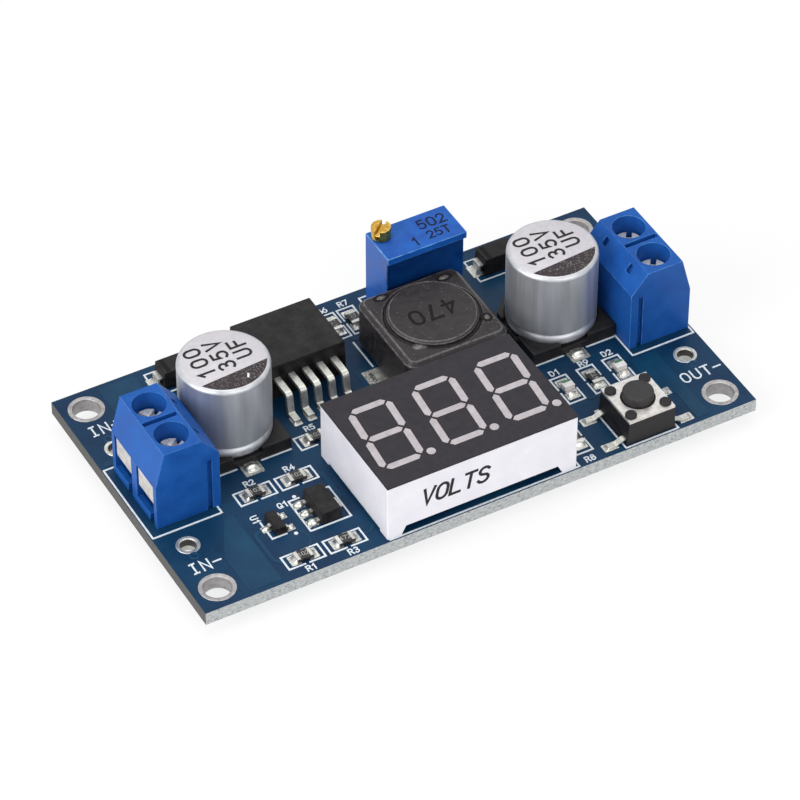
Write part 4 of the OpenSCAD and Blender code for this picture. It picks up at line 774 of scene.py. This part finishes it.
# A corner at the reference chip: how far it lies to the left and front, and how long its left side is
CORNER_LEFT, CORNER_AHEAD, CORNER_SIDE = 0.55, 0.1, 2.7
low, high = box("reference_body")
x, y = low[:2] - (CORNER_LEFT, CORNER_AHEAD)
print_lines.append(stroke([(x, low[1] + CORNER_SIDE), (x, y), (high[0] - CORNER_AHEAD, y)]))

# Brackets round the chips: half their length and width, and half the gap between the two
BRACKET_LENGTH, BRACKET_WIDTH, BRACKET_GAP = 2.12, 0.98, 0.2


def brackets(low, high):
    """Two square brackets around a chip, with gaps at the middle of its long sides."""
    at, along, _, _ = lie(low, high)
    path = np.array([(BRACKET_GAP, BRACKET_WIDTH), (BRACKET_LENGTH, BRACKET_WIDTH),
                     (BRACKET_LENGTH, -BRACKET_WIDTH), (BRACKET_GAP, -BRACKET_WIDTH)])
    return [stroke(at + (half[:, ::-1] if along[1] else half)) for half in (path * (-1, 1), path)]


# Sizes of the small and large print on the board
SMALL, SMALL_LINE, LARGE, LARGE_LINE, LARGE_PITCH = 0.74, 0.135, 1.4, 0.18, 0.93


def label(text, at, on=TOP):
    """A small name printed on the board."""
    return lettering(text, on, at, SMALL, SMALL_LINE)


# Plain numbers beside the chips, counted from left to right, at their offset from the chip
NEAR, FAR = 1.72, 2.9
offsets = [(0.07, -NEAR), (0.15, NEAR), (0.1, -NEAR), (0, NEAR), (0.2, NEAR), (0, FAR), (0.2, FAR),
           (0, -FAR - 0.3), (0.25, FAR - 0.17)]
LIGHT_OFFSET = (0.05, FAR)
chips, lights = solids("resistor_chips"), solids("indicator_bases")
for chip in chips + lights:
    print_lines += brackets(*chip)
for number, (chip, offset) in enumerate(zip(chips, offsets), 1):
    print_lines += label(f"R{number}", mid(*chip) + offset)
for number, light in enumerate(lights, 1):
    print_lines += label(f"D{number}", mid(*light) + LIGHT_OFFSET)
print_lines += label("Q1", (-18.75, -7.79))
SIDEWAYS = plane((0, 0, DECK), (0, -1, 0), (1, 0, 0))
print_lines += label("U1", (8.4, -22.3), SIDEWAYS)
for name, at in (("IN-", (-29.78, -11.75)), ("IN+", (-29.78, 11.65)),
                 ("OUT-", (30.1, -11.5)), ("OUT+", (30.1, 11.6))):
    print_lines += lettering(name, TOP, at, LARGE, LARGE_LINE, pitch=LARGE_PITCH)
# Dots at the first lead of a part
DOT = 0.22
for x, y in ((-17.13, -7.3), (-19.49, -12.17), (-1.02, 16.69)):
    print_lines.append(plate(arc(x, y, DOT, DOT, 0, 330, 12), INK, TOP))
build("silkscreen", print_lines, white_ink)

# Screw terminals

for side in SIDES:
    dress(f"{side}_terminal_housing", f"{side}_terminal_shell", [blue], edge=0.12, edge_wear_and_highlight=blue_rubbed_and_highlit, held=True)
    dress(f"{side}_terminal_contacts", f"{side}_contact_strips", [nickel], edge=0.05)
    for pole in ("plus", "minus"):
        dress(f"{side}_screw_{pole}", f"{side}_{pole}_screw", [zinc_painted_lit], edge=0.06)
        dress(f"{side}_clamp_{pole}", f"{side}_{pole}_clamp", [nickel], edge=0.05, held=True)

# Capacitors

# Radius of the can's rim; height of its rolled foot, and how far the foot curves in; steps round the can
RIM, ROLL, NECK, CAN_STEPS = 0.5, 1.5, 0.6, 128
# The groove above the foot, from the wall at the foot's upper end
GROOVE = np.array([(-0.3, -0.03), (-0.25, 0.1), (0, 0.3)])
# The lacquered lid: inset from the wall, depth of its edge, its bevel, and how far it stands proud
LID_INSET, LID_EDGE, LID_BEVEL, LID_PROUD = 0.42, 0.06, 0.02, 0.005
# The printed sector: distance of its chord from the middle, the chord's turn, and its thickness
CHORD, CHORD_TURN, SECTOR = 2.2, math.radians(4), 0.01
# Rows of the rating and the places of their middles
RATING = (("100", (0.75, 2.45)), ("35V", (0.85, 0.05)), ("UF", (0.85, -2.3)))
for side in SIDES:
    low, high = box(f"{side}_capacitor_can")
    at, r, seat, top = mid(low, high), (high[0] - low[0]) / 2, low[2], high[2]
    foot = arc(r - NECK, seat + ROLL / 2, NECK, ROLL / 2, -90, 55, 16)
    rim = arc(r - RIM, top - RIM, RIM, RIM, 0, 84, 9)
    wall = np.vstack([foot, GROOVE + (r, seat + ROLL), rim])
    build(f"{side}_can", [lathe(wall, at, around=CAN_STEPS)], aluminium,
          replaced=[f"{side}_capacitor_can"])
    disc, face = r - LID_INSET, top + LID_PROUD
    skin = [(disc, top - LID_EDGE), (disc, top), (disc - LID_BEVEL, face), (0.0, face)]
    build(f"{side}_can_top", [lathe(skin, at, around=CAN_STEPS)], lacquer)
    # The sector lies between the chord and the arc beyond it
    right = (math.cos(CHORD_TURN), math.sin(CHORD_TURN), 0)
    lid = plane((*at, face), right, (-right[1], right[0], 0))
    span = math.degrees(math.acos(CHORD / (disc - LID_BEVEL)))
    sector = arc(0, 0, disc - LID_BEVEL, disc - LID_BEVEL, -90 - span, -90 + span, 40)
    build(f"{side}_can_sector", [plate(sector, SECTOR, lid)], sector_ink)
    page = plane((*at, face), (0, 1, 0), (-1, 0, 0))
    rating = [shape for text, place in RATING
              for shape in lettering(text, page, place, height=1.7, line=0.3, pitch=1.02, thick=PRINT)]
    build(f"{side}_can_rating", rating, black_ink)
    dress(f"{side}_capacitor_base", f"{side}_can_base", [nylon], edge=0.08)
    dress(f"{side}_capacitor_tabs", f"{side}_can_tabs", [tin], edge=0.05)
DASH, DASH_WIDTH = ((1.05, -3.6), (1.35, -3.0)), 0.22
low, high = box("input_capacitor_can")
dash = ribbon(DASH, DASH_WIDTH, PRINT, level(mid(low, high), high[2] + PRINT))
build("input_can_minus_mark", [dash], white_ink)

# Leads

# Directions, seen from above
LEFT, RIGHT, AHEAD, BEHIND = np.array([(-1, 0), (1, 0), (0, -1), (0, 1)])


def side_plane(x, y, direction, width):
    """The drawing plane of a bent strip: right along its direction, up along Z, half its width aside."""
    out = np.cross(np.array([*direction, 0.0]), (0, 0, 1))
    return plane(np.array([x, y, DECK]) - out * width / 2, (*direction, 0), (0, 0, 1))


def tip(low, high, out):
    """The middle of a lead's end, seen from above, on the side that it points to."""
    return mid(low, high) + out * (high - low)[:2] / 2


def away(low, high, body):
    """The direction along X in which a lead leaves the middle of its body."""
    return LEFT if mid(low, high)[0] < mid(*box(body))[0] else RIGHT


def bent_lead(low, high, out, thick, bends, radius, seat=0.0):
    """A lead bent down to its pad: a strip along a path that is level, falls between two bends, and is level.

    bends are the distances at which the path starts and stops to fall, radius the bends' size, and seat the
    height of the lead's foot above the board.
    """
    length, width = (high - low)[:2] @ np.abs([out, out[::-1]]).T
    rise, foot = high[2] - DECK - thick / 2, thick / 2 + seat
    path = [(0, rise), (bends[0], rise), (bends[1], foot), (length, foot)]
    return ribbon(rounded(path, radius), thick, width, side_plane(*tip(low, high, -out), out, width))


# Regulator

moulding("regulator_body", "regulator_moulding", epoxy, edge=0.1)
dress("regulator_heat_spreader", "regulator_spreader", [tin], edge=0.1)
regulator_leads = solids("regulator_leads")
leads = [bent_lead(*lead, AHEAD, thick=0.5, bends=(3.42, 3.77), radius=0.42) for lead in regulator_leads]
build("regulator_lead_frame", leads, tin, replaced=["regulator_leads"], edge=0.07)

# Inductor

dress("inductor_shield", "inductor_ferrite_shield", [ferrite], edge=0.12, edge_wear_and_highlight=ferrite_rubbed_and_highlit)
dress("inductor_drum", "inductor_ferrite_drum", [ferrite], edge=0.08, edge_wear_and_highlight=ferrite_rubbed_and_highlit)
dress("inductor_clips", "inductor_solder_clips", [tin], edge=0.06)
low, high = box("inductor_shield")
core, crown = mid(low, high), high[2]
drum_low, drum_high = box("inductor_drum")
# Glue that holds the drum: drops on the shield's corners, each on a dark patch of painted shade that stands for
# a pocket, and a run into the ring.
# Each has its place from the middle and its size; then come its sink below the shield's top and its height
DROPS = (((-3.5, 5.05), (1.15, 0.6)), ((4.0, 4.7), (1.2, 0.65)), ((4.9, -3.1), (0.7, 0.8)))
DROP_SINK, DROP_HEIGHT, POCKET_SHADE_WIDTH, POCKET_SHADE_DEPTH = 0.05, 0.22, 0.85, 0.9
RUN_AT, RUN_SIZE, RUN_SINK, RUN_HEIGHT = (-3.6, -3.6), (2.1, 1.4), 0.22, 0.36
drops = [dome((*(core + at), crown - DROP_SINK), size, DROP_HEIGHT) for at, size in DROPS]
drops.append(dome((*(core + RUN_AT), crown - RUN_SINK), RUN_SIZE, RUN_HEIGHT))
build("inductor_glue_drops", drops, glue)
# Dark patches under the drops: painted shade standing for pockets in the shield
pocket_shade_patches = [plate(arc(*(core + at), size[0] * POCKET_SHADE_WIDTH, size[1] * POCKET_SHADE_DEPTH, 0, 345, 24), PRINT,
                level((0, 0), crown)) for at, size in DROPS]
build("inductor_painted_pocket_shade", pocket_shade_patches, dark_ink_and_pocket_shade)
# Dark glue in the gap round the drum: a ring whose top sags between the two walls as half a sine wave. It has
# its level below the shield's top, its sag, its depth, and how far it keys into the shield
GLUE_LEVEL, GLUE_SAG, GLUE_DEPTH, GLUE_KEY = 0.1, 0.1, 0.8, 0.06
wall = corners("inductor_shield") - (*core, 0)
inside, outside = (drum_high[0] - drum_low[0]) / 2, np.hypot(wall[:, 0], wall[:, 1]).min() + GLUE_KEY
t = np.linspace(0, 1, 7)
sag = np.column_stack([inside + (outside - inside) * t, crown - GLUE_LEVEL - GLUE_SAG * np.sin(np.pi * t)])
section = np.vstack([sag, [(outside, crown - GLUE_DEPTH), (inside, crown - GLUE_DEPTH)]])
build("inductor_glue_ring", [tube(section, core, around=96)], filled_glue)
disc = plane((*core, drum_high[2]), (-1, 0, 0), (0, -1, 0))
value = lettering("470", disc, (0, 0.1), height=2.1, line=0.34, pitch=0.95, thick=PRINT)
build("inductor_value", value, dark_ink_and_pocket_shade)

# Trimmer

dress("trimmer_housing", "trimmer_shell", [trimmer_blue], edge=0.1, edge_wear_and_highlight=blue_rubbed_and_highlit, least=0.6)
dress("trimmer_screw", "trimmer_brass_screw", [brass], edge=0.08)
low, high = box("trimmer_housing")
cap = level(mid(low, high), high[2])
marks = lettering("502", cap, (2.3, 0.85), height=1.35, line=0.22, thick=PRINT)
marks += lettering("25T", cap, (2.2, -1.0), height=1.1, line=0.2, thick=PRINT)
marks += lettering("1", cap, (-0.75, -1.3), height=1.2, line=0.2, thick=PRINT)
build("trimmer_value", marks, trimmer_ink)

# Display

dress("display_case", "display_shell", [white], edge=0.12)
dress("display_face", "display_film", [film], edge=0.03)
dress("display_bars", "display_light_bars", [bar_epoxy], edge=0.03)
x, _, z = (display_low + display_high) / 2
front = plane((x, display_low[1], z), (1, 0, 0), (0, 0, 1))
unit = lettering("VOLTS", front, (-3.2, 0.6), height=2.0, line=0.36, pitch=0.82, slant=0.18, thick=PRINT)
build("display_unit_print", unit, black_ink)

# Button switch

dress("switch_base", "switch_housing", [nylon], edge=0.1, least=0.05)
dress("switch_cover", "switch_plate", [nickel], edge=0.05, held=True)
dress("switch_button", "switch_plunger", [button_rubber], edge=0.08, least=0.05)
# The spring dome under the button gets a mesh of its own; the real dome loses as much height as the button
# travels, down to its rim on the floor
low, high = box("switch_dome")
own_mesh(dress("switch_dome", "switch_spring_dome", [nickel], edge=0.0))
strips = [bent_lead(*lead, away(*lead, "switch_base"), thick=0.2, bends=(0.75, 1.6), radius=0.25, seat=PAD)
          for lead in solids("switch_leads")]
build("switch_lead_strips", strips, tin, replaced=["switch_leads"], edge=0.03)

# Small parts

for node in ("input_diode", "output_diode", "transistor", "reference"):
    moulding(f"{node}_body", f"{node}_moulding", epoxy, edge=0.09)
    dress(f"{node}_leads", f"{node}_terminals", [tin], edge=0.04)
# Bands at the diodes' cathodes: place from the left end, width, and distance from the front and back
BAND_INSET, BAND_WIDTH, BAND_MARGIN = 0.75, 0.5, 0.25
for side in SIDES:
    low, high = box(f"{side}_diode_body")
    band = level((low[0] + BAND_INSET, (low[1] + high[1]) / 2), high[2])
    half = (high[1] - low[1]) / 2 - BAND_MARGIN
    build(f"{side}_diode_cathode_band", [ribbon([(0, -half), (0, half)], BAND_WIDTH, PRINT, band)],
          dark_ink_and_pocket_shade)

dress("resistor_chips", "resistor_bodies", [glaze], edge=0.03)
# End caps: how far they wrap over the chip, their thickness, the size of their bends, and the lowest point
CAP_WRAP, CAP_T, CAP_BEND, CAP_LIFT = 0.4, 0.05, 0.1, 0.01
CODES = ("102", "103", "472")
caps, codes = [], []
for number, (low, high) in enumerate(chips):
    at, along, length, width = lie(low, high)
    rise, foot = high[2] - DECK, CAP_T / 2 + CAP_LIFT
    path = [(length - CAP_WRAP, rise), (length, rise), (length, foot), (length - CAP_WRAP, foot)]
    caps += [ribbon(rounded(path, CAP_BEND), CAP_T, width, side_plane(*at, out, width))
             for out in (-along, along)]
    page = plane((*at, high[2]), (*along, 0), (-along[1], along[0], 0))
    codes += lettering(CODES[number % len(CODES)], page, (0, 0), height=0.5, line=0.085, thick=PRINT)
build("resistor_caps", caps, tin, replaced=["resistor_end_caps"], edge=0.015)
build("resistor_codes", codes, grey_ink)

dress("indicator_bases", "indicator_substrates", [tin], edge=0.04)
dress("indicator_lenses", "indicator_domes", [lens], edge=0.08)
# Marks at the cathodes: half their length, place from the lens's middle, and width
MARK_LENGTH, MARK_AT, MARK_WIDTH = 0.5, 0.36, 0.3
mark = [(-MARK_LENGTH, MARK_AT), (MARK_LENGTH, MARK_AT)]
stripes = [ribbon(mark, MARK_WIDTH, PRINT, level(mid(low, high), high[2]))
           for low, high in solids("indicator_lenses")]
build("indicator_cathode_marks", stripes, green)

# Tinned pads and solder on the upper face

PAD_CORNER = 0.12
pads, joints = [], []


def join(at, out, pad, run=None, drop=None):
    """Solders the tip of a lead that points out: a tinned pad, and a fillet or drop of solder on it.

    pad gives how far the pad's middle lies back from the tip, and its size; run the same distance for the
    fillet, and its length, width and height; drop the distance for the drop, its size and its height.
    """
    back, size = pad
    pads.append(plate(rectangle(at - out * back, size, PAD_CORNER), PAD, TOP))
    if run:
        back, *size = run
        joints.append(fillet((*(at - out * back), DECK), out, *size))
    if drop:
        back, *size = drop
        joints.append(dome((*(at - out * back), DECK), *size))


# Chips: least distance of a pad from the middle, size of the pads, and what the fillet is wider than the chip
CHIP_LEAST_END, CHIP_PAD, CHIP_SPREAD = 0.96, np.array([1.15, 1.5]), 1.02
for chip in chips + lights:
    at, along, length, width = lie(*chip)
    end = max(length, CHIP_LEAST_END)
    for out in (-along, along):
        join(at + out * end, out, pad=(-0.08, CHIP_PAD if along[0] else CHIP_PAD[::-1]),
             run=(0.02, 0.58, width * CHIP_SPREAD, 0.42))
for lead in regulator_leads:
    join(tip(*lead, AHEAD), AHEAD, pad=(0.35, (1.0, 1.5)), run=(0.05, 0.4, 0.95, 0.4))
low, high = box("regulator_heat_spreader")
width = high[0] - low[0]
join(tip(low, high, BEHIND), BEHIND, pad=(0.4, (width + 0.9, 2.4)), run=(0.02, 0.6, width - 0.4, 0.8))
for side in SIDES:
    for out in (AHEAD, BEHIND):
        join(tip(*box(f"{side}_capacitor_tabs"), out), out, pad=(0.35, (2.2, 2.3)),
             run=(0.1, 0.75, 1.5, 0.5), drop=(0.25, (1.75, 1.35), 0.42))
    for out in (LEFT, RIGHT):
        join(tip(*box(f"{side}_diode_leads"), out), out, pad=(0.2, (1.9, 2.0)), run=(0.04, 0.6, 1.55, 0.85))
# A transistor lead wider than this has the tab on it
LEAST_TAB = 1.0
for lead in solids("transistor_leads"):
    join(tip(*lead, LEFT), LEFT, pad=(0.1, (1.3, 1.0)), run=(0.05, 0.42, 0.95, 0.42),
         drop=(0.2, (1.35, 1.1), 0.56))
    # The wide tab is one piece with the middle lead
    if lead[1][1] - lead[0][1] > LEAST_TAB:
        join(tip(*lead, RIGHT), RIGHT, pad=(0.1, (1.0, 1.6)), run=(0.05, 0.4, 1.4, 0.4))
for node, body, solders in (
        ("inductor_clips", "inductor_shield", dict(pad=(0.3, (2.2, 3.0)), run=(0.05, 0.6, 2.5, 0.4))),
        ("switch_leads", "switch_base", dict(pad=(0.45, (1.7, 1.15)), run=(0.1, 0.45, 0.95, 0.3))),
        ("reference_leads", "reference_body", dict(pad=(0.25, (1.0, 0.9)), drop=(0.2, (0.95, 0.75), 0.34)))):
    for lead in solids(node):
        out = away(*lead, body)
        join(tip(*lead, out), out, **solders)
build("tinned_pads", pads, solder)
build("solder_fillets", joints, solder)

# Solder under the board: cones whose radius falls as (1 - s) squared from the pad to the pin, and a collar
# round the pin on the upper face
CONE_WALL, CONE_TIP, CONE_LENGTH, CONE_PAD = 0.6, 0.08, 1.0, 0.05
COLLAR = np.array([(0.12, -0.02), (0.4, -0.02), (0.4, PAD), (0.1, 0.16)])
cones = []
for low, high in solids("solder_joints"):
    at, r = mid(low, high), (high[0] - low[0]) / 2
    pin = r - CONE_WALL
    s = np.linspace(0, 1, 8)[1:]
    cone = np.column_stack([pin + CONE_TIP + (CONE_WALL - CONE_TIP) * (1 - s) ** 2, -s * CONE_LENGTH])
    foot = [(r + CONE_PAD, 0.0), (r + CONE_PAD, -PAD)]
    cones.append(lathe(np.vstack([foot, cone, [(pin, -CONE_LENGTH)]]), at, around=32))
    cones.append(lathe(COLLAR + (pin, DECK), at, around=32))
build("solder_cones", cones, solder, replaced=["solder_joints"])

# CAD pieces that keep their own shape, inside or under the rest
for material, nodes in (
        (tin, ("trimmer_pins", "display_pins", "meter_leads")),
        (nickel, ("trimmer_wiper",)),
        (nylon, ("inductor_base", "trimmer_base")),
        (epoxy, ("meter_body",)),
        (enamel, ("inductor_winding",)),
        (white, ("trimmer_wheel",)),
        (alumina, ("trimmer_element",)),
        (carrier, ("display_carrier",))):
    for node in nodes:
        for place in frame["nodes"][node].material_slots:
            place.material = material

# Floor, light and camera

# Half the floor's width and how far it lies under the part, in metres
FLOOR, CLEAR = 0.8, 0.00002
floor_mesh = bpy.data.meshes.new("floor")
floor_z = cad_box[0][2] - CLEAR
floor_mesh.from_pydata([(-FLOOR, -FLOOR, floor_z), (FLOOR, -FLOOR, floor_z), (FLOOR, FLOOR, floor_z),
                        (-FLOOR, FLOOR, floor_z)], [], [(0, 1, 2, 3)])
floor = bpy.data.objects.new("floor", floor_mesh)
bpy.context.scene.collection.objects.link(floor)


def seen(tree):
    """One where a ray comes from the camera, a mirror or a clear surface."""
    ray = add(tree, "ShaderNodeLightPath").outputs
    some = add(tree, "ShaderNodeMath", {0: ray["Is Camera Ray"], 1: ray["Is Glossy Ray"]}, operation="MAXIMUM")
    return add(tree, "ShaderNodeMath", {0: some.outputs[0], 1: ray["Is Transmission Ray"]},
               operation="MAXIMUM").outputs[0]


# White paper: mostly its own white to the eye, with enough of its shading left to keep the shadow
OWN_WHITE = 0.82
paper = bpy.data.materials.new("white_paper")
paper.use_nodes = True
tree = paper.node_tree
tree.nodes.clear()
matt = add(tree, "ShaderNodeBsdfDiffuse", {"Color": linear("#f4f4f4")}).outputs[0]
glow = add(tree, "ShaderNodeEmission", {"Color": (1, 1, 1, 1), "Strength": 1.0}).outputs[0]
share = add(tree, "ShaderNodeMath", {0: seen(tree), 1: OWN_WHITE}, operation="MULTIPLY").outputs[0]
sheet = add(tree, "ShaderNodeMixShader", {0: share, 1: matt, 2: glow}).outputs[0]
clear = add(tree, "ShaderNodeBsdfTransparent").outputs[0]
behind = add(tree, "ShaderNodeNewGeometry").outputs["Backfacing"]
both = add(tree, "ShaderNodeMixShader", {0: behind, 1: sheet, 2: clear}).outputs[0]
add(tree, "ShaderNodeOutputMaterial", {"Surface": both})
floor_mesh.materials.append(paper)

# A plain white sky: SKY is its strength as light, and it is white to the eye and in mirrors
SKY = 0.55
world = bpy.data.worlds.new("studio")
bpy.context.scene.world = world
world.use_nodes = True
tree = world.node_tree
strength = add(tree, "ShaderNodeMapRange",
               {"Value": seen(tree), "To Min": SKY, "To Max": 1.0}).outputs["Result"]
tree.links.new(strength, tree.nodes["Background"].inputs["Strength"])
tree.nodes["Background"].inputs["Color"].default_value = (1, 1, 1, 1)


def softbox(name, place, size, power):
    """A square lamp that looks at the middle of the board, with its place and size in mm and power in W."""
    lamp = bpy.data.lights.new(name, "AREA")
    lamp.size = size * MM
    lamp.energy = power
    made = bpy.data.objects.new(name, lamp)
    made.location = Vector(place) * MM
    made.rotation_euler = (-made.location).to_track_quat("-Z", "Y").to_euler()
    bpy.context.scene.collection.objects.link(made)


softbox("key_softbox", (60, -400, 300), 300, 0.72)
softbox("left_softbox", (-400, -60, 260), 300, 1.5)
softbox("top_softbox", (40, 120, 480), 320, 0.65)

# The camera: its direction from the target, its distance in mm, and its lens
AZIMUTH, ELEVATION = math.radians(-28.975), math.radians(42.977)
TARGET = Vector((-0.292, 0.320, DECK)) * MM
REACH, LENS, SENSOR = 484.641, 204.487, 36.0
camera = bpy.data.cameras.new("camera")
camera.lens, camera.sensor_width = LENS, SENSOR
camera.clip_start, camera.clip_end = 0.01, 10.0
eye = bpy.data.objects.new("camera", camera)
back = Vector((math.sin(AZIMUTH) * math.cos(ELEVATION), -math.cos(AZIMUTH) * math.cos(ELEVATION),
               math.sin(ELEVATION)))
eye.location = TARGET + back * REACH * MM
eye.rotation_euler = (-back).to_track_quat("-Z", "Y").to_euler()
bpy.context.scene.collection.objects.link(eye)
bpy.context.scene.camera = eye
bpy.context.scene.view_settings.view_transform = "Standard"
